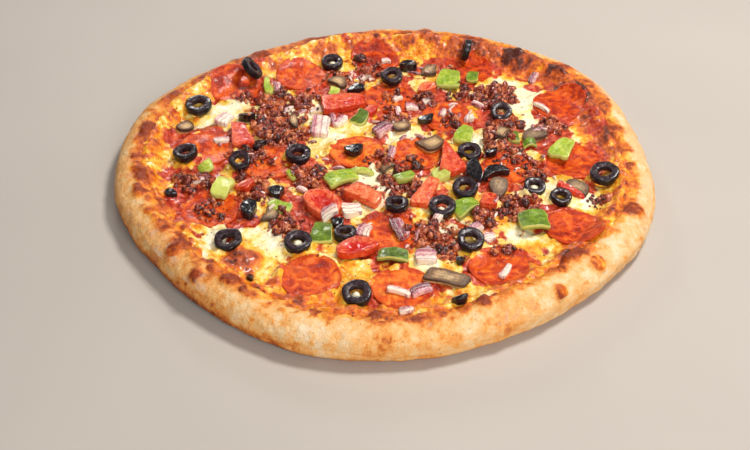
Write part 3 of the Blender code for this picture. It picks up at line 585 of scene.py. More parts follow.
def make_dough(material, bubbles):
    """The dough: out along the underside, a quarter ellipse to the widest line, another up to the
    crest and half a cosine wave down to the floor, pushed along its normal by uneven noise."""
    angle = turns_of(DOUGH_TURNS)[None, :]
    sin, cos = np.sin(angle), np.cos(angle)
    front, left, back, right = (np.clip(value, 0, 1) for value in (-sin, -cos, sin, cos))
    edge, crest = cheese_edge(angle), crest_height(angle)
    low = (np.linspace(0, 1, 13)[1:] * np.pi / 2)[:, None]
    high = (np.linspace(0, 1, 31)[1:] * np.pi / 2)[:, None]
    inner = np.linspace(0, 1, 19)[1:, None]
    slope = CREST_INSET + (edge + 5 - CREST_INSET) * inner
    deep = edge + 5 + (FLOOR_INSET - edge - 5) * np.array([0.4, 0.8, 1.0])[:, None]
    under = np.array([60, 20, UNDERSIDE_INSET])[:, None]
    # Each part of the profile: inset, height, and how far noise moves it out and up
    parts = (
        (under, 0, np.array([0, 0, 0.3])[:, None], 0),
        (UNDERSIDE_INSET * (1 - np.sin(low)), WIDEST_HEIGHT * (1 - np.cos(low)),
         np.sin(low), -0.6 * np.cos(low)),
        (CREST_INSET * (1 - np.cos(high)), WIDEST_HEIGHT + (crest - WIDEST_HEIGHT) * np.sin(high),
         np.cos(high), np.sin(high)),
        (slope, dough_height(slope, angle), -0.45 * np.sin(np.pi * inner), 1),
        (deep, dough_height(deep, angle), 0, 0),
    )
    inset, height, out, up = (
        np.vstack([np.broadcast_to(part[column], (len(part[0]), DOUGH_TURNS)) for part in parts])
        for column in range(4)
    )
    # Unrolled places, as far out as they lie along the profile, for noise that has no seam
    steps = np.hypot(*(np.diff(value, axis=0, prepend=value[:1]) for value in (inset, height)))
    along = np.cumsum(steps, 0)
    spread = UNROLLED_RADIUS + along - along[3]
    nx, ny = spread * cos, spread * sin
    shift_x, shift_y = (UNROLLED_RADIUS * value + 0.15 * spread for value in (cos, sin))
    creases = rough(shift_x, shift_y, 46, 41, 2)
    x, y = place_at(angle, inset)
    on_top = (np.arange(len(inset)) >= FIRST_TOP_RING)[:, None]
    wide_bubbles = [row for row in bubbles if row[2] > 1.8]
    dome, dome_brown = (value * on_top for value in bubbles_on(x, y, wide_bubbles))
    tall, tall_brown = (value * on_top for value in bubbles_on(x, y, big_bubbles()))
    # Blisters that run from the cheese out over the crest, fewer where the dough is bare
    bare = 4 * np.clip(-sin - 0.2, 0, 1) + 3 * np.clip(np.cos(angle - 0.35), 0, 1)
    band = smooth_step(inset, 6.5 + bare, 15 + bare) * on_top
    wide, wide_number = blobs(x, y, 10, 61)
    narrow, narrow_number = blobs(x + 4, y, 5.5, 65)
    wide_share = smooth_step(wide, 0.08, 0.4) * (wide_number > 0.45) * band
    narrow_share = smooth_step(narrow, 0.08, 0.4) * (narrow_number > 0.6) * band
    brown = np.clip(patch_sum(x, y, BROWN_PATCHES, 4), 0, 1) * on_top
    charred = rough(nx, ny, 3.4, 45, 2)
    push = 1.2 * rough(nx, ny, 26, 31) + 0.5 * rough(nx, ny, 5.5, 37)
    push += -0.7 * np.exp(-((height - 8.2 - 3.2 * creases) ** 2)) * (inset < CREST_INSET)
    push = push + 0.6 * dome + 0.9 * wide_share + 0.5 * narrow_share + tall
    push += brown * (0.8 + 0.8 * charred)
    push[:3] = 0
    reach = outline(angle) - inset + out * push
    z = np.maximum(height + up * push, 0.0)
    rings = np.stack([reach * cos - SHIFT_X, reach * sin - SHIFT_Y, z], -1)
    # Bake: pale and floury at 0.1, cream at 0.3, golden at 0.5, brown at 0.8
    patches, fine = rough(nx, ny, 21, 51), rough(nx, ny, 4.2, 57)
    # The colour runs darker on the left and back sides, at the front-left foot and towards the floor, and
    # paler at the outer front and right edges
    bake = 0.3 + 0.3 * patches + 0.16 * fine + 0.12 * left + 0.1 * back - 0.05 * front * (inset < 14)
    bake += 0.4 * np.clip(front * left * 2, 0, 1) * (1 - smooth_step(z, 3, 14)) * (inset < 15)
    bake += 0.26 * (1 - smooth_step(z, 0.8, 5.5)) * (0.6 + 0.4 * front)
    bake += (0.1 * smooth_step(inset, 11, 20) - 0.06) * right
    bake += 0.08 * smooth_step(inset, 8, 16) * (0.4 + 0.6 * (1 - right))
    bake += 0.2 * smooth_step(fine, 0.25, 0.65) * smooth_step(z, 7, 15)
    bake += brown * (0.3 + 0.5 * charred) + 0.4 * dome_brown + tall_brown
    wide_bake = wide_share * (0.42 * wide_number**9 - 0.04)
    bake += np.where(narrow_share > wide_share, narrow_share * (0.45 * narrow_number**7 - 0.02), wide_bake)
    bake[:3] = 0.75
    cheesy = smooth_step(inset + 4 * patches + 3 * fine, edge - 12 + 3 * front, edge + 1)
    for share in (0.9 * smooth_step(dome_brown, 0.15, 0.4), wide_share, narrow_share,
                  smooth_step(tall_brown, 0.05, 0.2)):
        cheesy = np.maximum(cheesy, share)
    flour = smooth_step(0.45 * patches + 0.5 * left + 0.45 * right + 0.25 * fine, 0.2, 0.9) * (inset < 13)
    piece = Piece("dough", "bake", "cheesy", "flour")
    piece.add(
        ring_skin(rings, np.zeros(3), np.array([0, 0, FLOOR_HEIGHT])),
        bake=with_poles(np.clip(bake, 0, 1.2), 1, 1),
        cheesy=with_poles(cheesy * on_top, 0, 1),
        flour=with_poles(flour * (0.7 * on_top + 0.3), 0, 0),
    )
    piece.make(material, ["crust"])


def press_round(x, y, mound, cx, cy, radius, lift, seed):
    """Raises cheese into a ragged bank round a disc, and draws it down under the disc."""
    near = near_to(x, y, cx, cy, radius + 8, radius + 8)
    away = np.hypot(x[near] - cx, y[near] - cy) - radius
    ragged = 0.6 + 0.8 * grain(x[near], y[near], 6, seed) + 0.4 * grain(x[near], y[near], 2.5, seed + 1)
    bank = lift * np.clip(ragged, 0.1, 1.5) * np.exp(-((away - 0.1) / 2.6) ** 2)
    mound[near] = np.where(away < -3.2, -0.25, np.maximum(mound[near], bank))
    return near, away


def press_oblong(x, y, mound, cx, cy, length, width, turn, lift):
    """Raises cheese round an oblong: a bank where its stretched distance from the middle is one."""
    reach = (length + width) / 2 + 6
    near = near_to(x, y, cx, cy, reach, reach)
    c, s = heading(turn)
    dx, dy = x[near] - cx, y[near] - cy
    stretched = np.hypot((dx * c + dy * s) * 2 / length, (dy * c - dx * s) * 2 / width)
    away = (stretched - 1) * min(length, width) / 2
    bank = lift * (0.75 + 0.4 * grain(x[near], y[near], 4, 91)) * np.exp(-(((away - 0.4) / 1.9) ** 2))
    mound[near] = np.maximum(mound[near], bank)


def sheet_skin(x, y, z, cells):
    """A closed surface whose top is a square grid of points: its border steps inwards along the
    dough in four rings, and a fan closes its underside. Also how many points lie below the top."""
    grid = np.arange(cells * cells).reshape(cells, cells)
    quads = [np.stack([grid[:-1, :-1], grid[:-1, 1:], grid[1:, 1:], grid[1:, :-1]], -1).reshape(-1, 4)]
    border = np.concatenate([grid[0, :-1], grid[:-1, -1], grid[-1, :0:-1], grid[:0:-1, 0]])
    rings, upper = [np.stack([x, y, z], -1)], border
    for row, part in enumerate((0.985, 0.94, 0.88, 0.8)):
        lx, ly = x[border] * part, y[border] * part
        rings.append(np.stack([lx, ly, dough_height(*inset_at(lx, ly)) + 0.05], -1))
        lower = len(x) + len(border) * row + np.arange(len(border))
        quads.append(np.stack([lower, np.roll(lower, -1), np.roll(upper, -1), upper], 1))
        upper = lower
    points = np.vstack([*rings, [[0, 0, FLOOR_HEIGHT + 0.1]]])
    fan = np.stack([np.full(len(border), len(points) - 1), np.roll(upper, -1), upper], 1)
    return (points, np.vstack(quads), fan), len(points) - len(x)


def make_cheese(material, bubbles, crumbs, pile):
    """The cheese: its top follows the cheese level, banked up round toppings and bubbled near the
    rim; its underside follows the dough."""
    share, angle = disc_places(CHEESE_CELLS)
    wobble = 2.6 * rough(160 * np.cos(angle), 160 * np.sin(angle), 9, 61)
    reach = outline(angle) - cheese_edge(angle) + 1.0 + wobble * smooth_step(share, 0.8, 1)
    x = (share * reach * np.cos(angle) - SHIFT_X).ravel()
    y = (share * reach * np.sin(angle) - SHIFT_Y).ravel()
    inset, turn = inset_at(x, y)
    rim = smooth_step(inset, 44, 24)
    mound, grease, pale = np.zeros((3, len(x)))
    open_share = np.ones_like(x)
    for index, (cx, cy, diameter) in enumerate(PEPPERONI):
        near, away = press_round(x, y, mound, cx, cy, diameter / 2, 2.9, 100 + index)
        grease[near] = np.maximum(grease[near], np.exp(-((away / 5) ** 2)))
        open_share[near] = np.minimum(open_share[near], smooth_step(away, -4.5, -1))
    round_crumbs = [(cx, cy, 2 * radius, 2 * radius, 0) for cx, cy, radius in crumbs]
    for rows, lift in ((CUT_ROWS, 1.6), (SMALL_ROWS, 1.0), (round_crumbs, 0.8)):
        for row in rows:
            press_oblong(x, y, mound, *row, lift)
    for index, (cx, cy, diameter, tilt, _) in enumerate(OLIVES):
        lift = 3.4 if tilt < 40 else 1.0
        near, away = press_round(x, y, mound, cx, cy, diameter / 2 - 0.2, lift, 200 + index)
        if index in OLIVES_WITH_CHEESE:
            hole = np.exp(-(((away + diameter / 2) / 3.4) ** 4))
            mound[near] = np.maximum(mound[near], 4.0 * hole)
            pale[near] = np.maximum(pale[near], hole)
    dome, dome_brown = bubbles_on(x, y, bubbles)
    tall, tall_brown = bubbles_on(x, y, big_bubbles())
    low = smooth_step(share.ravel(), 1.0, 0.965)
    large, large_number = blobs(x, y, 8.5, 71)
    small, small_number = blobs(x + 3, y, 4.4, 75)
    flat = blobs(x, y, 13, 79)[0]
    meat = patch_sum(x, y, MEAT_PATCHES, 3) + 0.5 * grain(x, y, 6, 85) + 0.3 * grain(x, y, 2.6, 86)
    meat = smooth_step(meat, 0.3, 0.75) * (1 - 0.8 * rim)
    curd = np.clip(patch_sum(x, y, WHITE_PATCHES) + pale, 0, 1.25) * (1 - smooth_step(tall_brown, 0, 0.15))
    lumps = np.maximum(dome, 1.9 * large) * rim + 0.9 * small * (0.35 + 0.5 * rim) + tall
    lumps += (1 - rim) * (1.0 * flat - 0.35 + 0.5 * curd) + meat * (1.6 * small + 0.3)
    lumps += 0.14 * grain(x, y, 1.9, 77) + 0.25 * grain(x, y, 4.5, 79)
    z = cheese_level(x, y) + low * (mound * (1 - 0.3 * rim) + lumps * open_share) - 1.1 * (1 - low)
    # Bake: white curd at 0, yellow at 0.3, orange at 0.55, brown at 0.85
    edge_share = smooth_step(inset, 46, 26)
    # The rim's colour runs darker at the back right and paler at the front right
    right = np.clip(np.cos(turn), -0.2, 1) * (np.sin(turn) + 0.25) * smooth_step(inset, 46, 30)
    yellow = np.clip(patch_sum(x, y, YELLOW_PATCHES), 0, 1)
    brown = np.clip(patch_sum(x, y, BROWN_PATCHES, 4), 0, 1.1)
    bake = 0.27 + 0.15 * edge_share + 0.34 * right + 0.1 * grease - 0.36 * curd - 0.06 * (1 - rim)
    bake += rough(x, y, 10, 81) * (0.22 + 0.04 * rim) + rough(x, y, 3.0, 83) * (0.1 + 0.08 * rim)
    bake += 0.13 * yellow * (1 - edge_share) + 0.34 * brown + tall_brown + 0.38 * dome_brown * rim
    bake += rim * (0.7 * large * (large_number**2 - 0.25) + 0.4 * small * (small_number**2 - 0.2))
    bake += 0.35 * (1 - rim) * (1 - curd) * small * (small_number**4)
    sauce = 0.9 * patch_sum(x, y, SAUCE_PATCHES) + 0.85 * rough(x, y, 12, 87) + 0.44 * (1 - rim)
    sauce += 0.3 * grease - 0.85 * curd - brown - 4 * tall_brown - 0.5 * yellow - 0.5 * flat
    sauce = smooth_step(sauce - 0.05 * mound - 0.5 * large * rim, 0.05, 0.6)
    surface, below = sheet_skin(x, y, z, len(share))
    under = np.zeros(below)
    piece = Piece("baked_cheese", "bake", "sauce", "meat", "edge")
    piece.add(
        surface,
        bake=np.concatenate([np.clip(bake, 0, 1.1), under + 0.5]),
        sauce=np.concatenate([sauce, under]),
        meat=np.concatenate([meat * low, under]),
        edge=np.concatenate([edge_share, under + 1]),
    )
    piece.make(material, ["cheese"], pile)


def make_pepperoni(material, pile):
    """Pepperoni rounds: each follows the cheese level, with a wandering outline, an edge that
    curls up where a slow noise says so, and a top dimpled by finer noise."""
    turns = turns_of(PEPPERONI_TURNS)
    shares, levels = np.array(PEPPERONI_RINGS).T[:, :, None]
    piece = Piece("pepperoni_rounds", "edge", "tone")
    for index, (cx, cy, diameter) in enumerate(PEPPERONI):
        wander = 0.022 * np.cos(2 * turns + index) + 0.016 * np.cos(3 * turns + 2.2 * index)
        wander += 0.012 * round_grain(turns, 9, 2.2, 300 + index)
        radius = diameter / 2 * (0.985 + wander)
        x, y = cx + shares * radius * np.cos(turns), cy + shares * radius * np.sin(turns)
        curl = np.clip(0.75 + 0.8 * round_grain(turns, 14, 9, 330 + index), 0.1, 1.6)
        dimples = 0.6 * rough(x, y, 10, 360 + index) + 0.16 * grain(x, y, 2.4, 380)
        z = cheese_level(x, y) - 0.1 + 0.9 * curl * shares**7 + levels * PEPPERONI_THICK
        z += dimples * (levels > 0.3) * (1 - 0.6 * shares**8)
        middle = cheese_level(np.array([float(cx)]), np.array([float(cy)]))[0]
        low, high = np.array([cx, cy, middle + 0.35]), np.array([cx, cy, z[-1].mean()])
        edge = with_poles(np.broadcast_to(shares, x.shape), 0, 0)
        surface = ring_skin(np.stack([x, y, z], -1), low, high)
        piece.add(surface, edge=edge, tone=PEPPERONI_TONES[index])
    piece.make(material, numbered("pepperoni", PEPPERONI), pile)


def lean(points, tilt, towards):
    """Tips points about their middle so that they lean towards a direction, all in degrees."""
    axis = Vector((-math.sin(math.radians(towards)), math.cos(math.radians(towards)), 0))
    turn = np.array(Matrix.Rotation(math.radians(tilt), 3, axis))
    return points @ turn.T


def olive_ring(radius, seed):
    """A slice across a pitted olive: a squared oval section carried round a dented circle."""
    turns, section = turns_of(OLIVE_TURNS), turns_of(OLIVE_SECTION)
    wall = 2 * radius * OLIVE_WALL
    dents = 1 + 0.09 * round_grain(turns, 5, 3.1, seed)
    c, s = np.cos(section), np.sin(section)
    side, level = np.sign(c) * np.abs(c) ** 0.5, np.sign(s) * np.abs(s) ** 0.3
    reach = (radius - wall / 2 + side * wall / 2)[:, None] * dents[None, :]
    wave = 0.3 * round_grain(turns, 7, 4, seed + 5)
    height = level[:, None] * OLIVE_THICK / 2 * (1 - 0.1 * (side[:, None] < 0)) + wave
    rings = np.stack([reach * np.cos(turns), reach * np.sin(turns), height], -1)
    number = np.arange(OLIVE_SECTION * OLIVE_TURNS).reshape(OLIVE_SECTION, OLIVE_TURNS)
    after, above = np.roll(number, -1, 1), np.roll(number, -1, 0)
    quads = np.stack([number, after, np.roll(after, -1, 0), above], -1).reshape(-1, 4)
    inner = smooth_step(side, 0.9, 0.3) * (0.5 + 0.5 * smooth_step(side, 0.2, -0.8))
    return rings.reshape(-1, 3), quads, np.repeat(inner, OLIVE_TURNS)


def make_olives(material, pile):
    piece = Piece("olive_slices", "inner", "tone")
    nodes = numbered("olive", OLIVES)
    for index, (cx, cy, diameter, tilt, towards) in enumerate(OLIVES):
        points, quads, inner = olive_ring(diameter / 2, 400 + 7 * index)
        points = lean(points, tilt, towards)
        low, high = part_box(nodes[index])
        middle = (low.z + high.z) / 2 / MM
        points = points + np.array([cx, cy, middle - 0.4 - (points[:, 2].max() + points[:, 2].min()) / 2])
        piece.add((points, quads, np.zeros((0, 3), int)), inner=inner, tone=(index * 0.61) % 1.0)
    piece.make(material, nodes, pile)


def oval(length, width, turns):
    return np.stack([np.cos(turns) * length / 2, np.sin(turns) * width / 2], -1)


def squared(power, middle=1.0, narrowing=0.0):
    """A family of outlines from above: oblongs with tight corners, the tighter the higher the power,
    as wide as the middle's share says and narrower towards one end."""

    def seen_from_above(length, width, turns):
        c, s = np.cos(turns), np.sin(turns)
        reach = (np.abs(c) ** power + np.abs(s) ** power) ** (-1 / power)
        wide = middle - narrowing * reach * c
        return np.stack([reach * c * length / 2, reach * s * width / 2 * wide], -1)

    return seen_from_above


strip, block, taper = squared(7), squared(9, 1, 0.22), squared(10, 0.8, 0.26)


def wedge(length, width, turns):
    """A wedge from above: a triangle with its point at the far end and a rounded skin side."""
    reach = 0.5 / np.cos(np.mod(turns, 2 * np.pi / 3) - np.pi / 3)
    reach = reach * (1 + 0.25 * np.exp(-(((turns - np.pi) / 0.8) ** 2)))
    return np.stack([(reach * np.cos(turns) - 0.2) * length * 0.64, reach * np.sin(turns) * width * 0.58], -1)


def moon(length, width, turns):
    """Half of a slice from above: a round side and a nearly straight one."""
    s = np.sin(turns)
    return np.stack([np.cos(turns) * length / 2, np.where(s > 0, s * width * 0.62, s * width * 0.38)], -1)


def cut_piece(shape, length, width, thick, bend, seed, corners, hollow, bow):
    """A cut piece lying at the origin: its outline drawn in a little at the faces, arched over its
    length by bend, bowed sideways by bow, made uneven by noise, and its top drawn down by hollow."""
    turns = turns_of(corners, 0.5)
    uneven_edge = 0.09 * round_grain(turns, 6, 3.5, seed) + 0.04 * round_grain(turns, 6, 1.3, seed + 1)
    around = shape(length, width, turns) * (1 + uneven_edge)[:, None]
    shares, levels = np.array(SLAB_ROWS).T[:, :, None]
    x, y = shares * around[:, 0], shares * around[:, 1]
    top = levels > 0.9
    uneven = 0.3 * rough(x + 31 * seed, y, max(width * 0.35, 2.2), seed) * top
    sunk = hollow * np.exp(-((shares / 0.62) ** 4)) * top * (1 + 0.5 * grain(x + seed, y, 3, seed))
    arch = 1 - (2 * x / length) ** 2
    z = levels * thick + bend * arch + uneven - sunk + 0.12 * math.sin(seed * 1.7) * x * y / width
    rings = np.stack([x, y + bow * arch, z], -1)
    low, high = np.array([0, bow, float(bend)]), np.array([0, bow, z[-1].mean()])
    values = {
        "wall": (levels > 0.05) & (levels < 0.9),
        "share": shares * (levels > 0.3),
        "across": y * 2 / width,
        "deep": sunk,
    }
    marks = {}
    for name, value in values.items():
        value = np.broadcast_to(value, x.shape)
        marks[name] = with_poles(value, 0, value[-1, -1])
    return ring_skin(rings, low, high), marks


def set_down(surface, x, y, z, turn, along=0.0, across=0.0):
    """Turns a cut piece, tips it to the slopes along and across it, and moves it to its place."""
    points, quads, tris = surface
    lifted = points.copy()
    lifted[:, 2] += points[:, 0] * along + points[:, 1] * across
    spun = lifted @ np.array(Matrix.Rotation(math.radians(turn), 3, "Z")).T
    return spun + np.array([x, y, z]), quads, tris


def make_cuts(name, material, kind, rows, small, loose, shapes, thick, bend, tones, pile, hollows, arc=0.16):
    """Every cut piece of one kind: those with solids of their own stand at their solids' height,
    small ones are sunk into the cheese, and loose ones lie on what is under them."""
    piece = Piece(name, "wall", "share", "across", "deep", "tone")
    nodes = numbered(kind, rows)

    def lay(index, size, arch, seed, sunk, bow, corners, spot, tone):
        shape, hollow = shapes[index % len(shapes)], sunk * hollows[index % len(hollows)]
        surface, marks = cut_piece(shape, *size, arch, seed + 11 * index, corners, hollow, bow)
        piece.add(set_down(surface, *spot), tone=tone, **marks)

    for index, (x, y, length, width, turn) in enumerate(rows):
        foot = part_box(nodes[index])[0].z / MM - 0.1
        lay(index, (length, width, thick), bend, 500, 1, 0, 44, (x, y, foot, turn), tones[index])
    for index, (x, y, length, width, height, turn) in enumerate(small):
        z, *slopes = pile.rest(x, y, length, width, turn)
        size, bow = (length * 0.97, width * 0.97, height + 0.9), arc * length * BOWS[index % 3] * 0.8
        tone = (0.4 + 0.55 * index) % 1.0
        lay(index, size, bend * 0.4, 700, 0.6, bow, 32, (x, y, z - 1.2, turn, *slopes), tone)
    for index, (x, y, length, width, height, turn, tone) in enumerate(loose):
        z, *slopes = pile.rest(x, y, length, width, turn)
        size, bow, corners = (length, width, height), arc * length * BOWS[index % 3], 32 if width > 2 else 16
        lay(index, size, bend * 0.8, 800, 0, bow, corners, (x, y, z - 0.5, turn, *slopes), tone)
    piece.make(material, nodes or ["cheese"], pile)


def slivers():
    """Thin chopped bits strewn over the middle, as rows of x, y, length, width, thickness, turn, tone."""
    draw = unit_random(53)
    laid = [oblong(*row) for row in OLIVE_ROWS + PEPPERS + TOMATOES]
    rows = []
    for _ in range(SLIVERS):
        turn, share, size, tone, spin = (next(draw) for _ in range(5))
        away = 112 * share**0.5
        x, y = away * math.cos(2 * math.pi * turn), 12 + away * math.sin(2 * math.pi * turn)
        long, wide = 3.5 + 5.5 * size**2, 1.1 + 0.8 * tone
        if clear_of(oblong(x, y, long, wide, 180 * spin), laid):
            rows.append((x, y, long, wide, 1.0 + 0.5 * size, 180 * spin, tone))
    return tuple(rows)


def oblong(x, y, length, width, turn):
    """A piece seen from above: the two ends of its spine and its radius, in metres."""
    along = Vector(heading(turn)) * (max(length - width, 0) / 2 * MM)
    middle = Vector((x, y)) * MM
    return middle - along, middle + along, width / 2 * MM


def away_from(spot, start, end):
    """Distance of a place from the line from start to end."""
    line = end - start
    if line.length_squared == 0:
        return (spot - start).length
    share = min(max((spot - start).dot(line) / line.length_squared, 0), 1)
    return (spot - start - line * share).length


def clear_of(piece, others):
    """Whether a piece seen from above stays clear of the others."""
    start, end, radius = piece
    for other_start, other_end, other_radius in others:
        near = radius + other_radius + CRUMB_CLEARANCE * MM
        for share in (0, 0.5, 1):
            if away_from(start.lerp(end, share), other_start, other_end) < near:
                return False
    return True


def topping_prints():
    """Every topping seen from above, pepperoni first, as the cheese's solid was laid out."""
    rounds = [(x, y, diameter, diameter, 0) for x, y, diameter in PEPPERONI]
    laid = [oblong(*row) for row in (*rounds, *OLIVE_ROWS, *CUT_ROWS)]
    for row in SMALL_ROWS:
        piece = oblong(*row)
        if clear_of(piece, laid):
            laid.append(piece)
    return laid


def crumb_places():
    """The sausage crumbs that the cheese's solid carries: drawn in each cluster by the same rule,
    and kept where they stay clear of what is laid. x, y and radius in millimetres."""
    laid = topping_prints()
    draw = unit_random(11)
    kept = []
    for cx, cy, spread, number in SAUSAGE_CLUSTERS:
        found = 0
        for _ in range(number * 14):
            away, turn, share = next(draw) ** 0.5 * spread * MM, next(draw) * 2 * math.pi, next(draw)
            spot = Vector((cx * MM + away * math.cos(turn), cy * MM + away * math.sin(turn)))
            radius = (CRUMB_SIZE[0] + (CRUMB_SIZE[1] - CRUMB_SIZE[0]) * share) * MM
            if found < number and clear_of((spot, spot, radius), laid):
                kept.append((spot.x / MM, spot.y / MM, radius / MM))
                laid.append((spot, spot, radius * 0.75))
                found += 1
    return kept


def ball(subdivisions):
    """Corners and faces of a ball of triangles with radius one."""
    shaped = bmesh.new()
    bmesh.ops.create_icosphere(shaped, subdivisions=subdivisions, radius=1)
    corners = np.array([v.co[:] for v in shaped.verts])
    faces = np.array([[v.index for v in f.verts] for f in shaped.faces])
    shaped.free()
    return corners, faces


def knobs(rows, seed, subdivisions):
    """Knobbly grains, one for each row of x, y, z and radius: balls whose corners are pushed in
    and out by a hashed share and turned about the vertical."""
    corners, faces = ball(subdivisions)
    centres, radii = rows[:, :3], rows[:, 3]
    number = np.arange(len(rows))[:, None]
    lump_x, lump_y = 1.7 * corners[:, 0] + 31 * number, 1.7 * corners[:, 1] + 2.1 * corners[:, 2] + number
    push = 0.58 + 0.3 * grain(lump_x, lump_y, 1.0, seed)
    push += 0.72 * hashed(number, np.arange(len(corners))[None, :], seed)
    turn = 2 * np.pi * hashed(number[:, 0], 7.0, seed)
    c, s = np.cos(turn)[:, None], np.sin(turn)[:, None]
    stretch = 0.6 + 0.95 * hashed(number, np.array([[3.0, 5.0, 11.0]]), seed)
    shape = corners[None] * push[..., None] * radii[:, None, None] * stretch[:, None, :]
    x, y = shape[..., 0] * c - shape[..., 1] * s, shape[..., 0] * s + shape[..., 1] * c
    points = np.stack([x, y, shape[..., 2] * 0.9], -1) + centres[:, None, :]
    tris = faces[None] + (number * len(corners))[..., None]
    tone = np.repeat(hashed(number[:, 0], 13.0, seed), len(corners))
    return (points.reshape(-1, 3), np.zeros((0, 4), int), tris.reshape(-1, 3)), tone


def scattered(draw, clusters, more, widen, laid):
    """Places drawn round clusters that stay clear of what is laid: x, y and a size from 0 to 1."""
    for cx, cy, spread, number in clusters:
        for _ in range(int(number * more)):
            away, turn, size = next(draw) ** 0.6 * spread * widen, next(draw) * 2 * math.pi, next(draw)
            x, y = cx + away * math.cos(turn), cy + away * math.sin(turn)
            if clear_of(oblong(x, y, 0.2, 0.2, 0), laid):
                yield x, y, size


def make_sausage(material, crumbs, pile):
    """Crumbled sausage: each crumb is a knobbly core with grains pressed into it; smaller crumbs
    and loose grains lie round the clusters and on top of other toppings."""
    draw = unit_random(41)
    laid = topping_prints()[len(PEPPERONI):]
    places = list(crumbs)
    for clusters, more, widen in ((SAUSAGE_CLUSTERS, 5, 1.3), (LOOSE_CLUSTERS, 2.4, 1.2)):
        found = scattered(draw, clusters, more, widen, laid)
        places += [(x, y, 1.1 + 2.9 * size**1.8) for x, y, size in found]
    cores, grains, specks = [], [], []
    for x, y, radius in places:
        z = pile.top(x, y) + radius * 0.16
        cores.append((x, y, z, radius * 0.85))
        for _ in range(9 if radius > 2.4 else 4):
            turn, tilt = next(draw) * 2 * math.pi, 0.1 + 1.25 * next(draw)
            size, reach = radius * (0.18 + 0.3 * next(draw)), radius * 0.76
            out = reach * math.sin(tilt)
            spot = (x + out * math.cos(turn), y + out * math.sin(turn), z + reach * math.cos(tilt) * 0.75)
            grains.append((*spot, size))
    for x, y, size in scattered(draw, SAUSAGE_CLUSTERS + LOOSE_CLUSTERS, 5, 1.4, laid):
        radius = 0.55 + 0.9 * size**2
        specks.append((x, y, pile.top(x, y) + radius * 0.2, radius))
    piece = Piece("sausage_crumbs", "tone")
    for rows, seed, subdivisions in ((cores, 3, 2), (grains, 5, 1), (specks, 8, 1)):
        surface, tone = knobs(np.array(rows), seed, subdivisions)
        piece.add(surface, tone=tone)
    piece.make(material, ["cheese"])


def paint(red, green, blue):
    """A colour as screens show it, 0 to 255, turned into the light values that shaders mix."""
    values = [c / 255 for c in (red, green, blue)]
    return tuple(c / 12.92 if c <= 0.04045 else ((c + 0.055) / 1.055) ** 2.4 for c in values) + (1.0,)


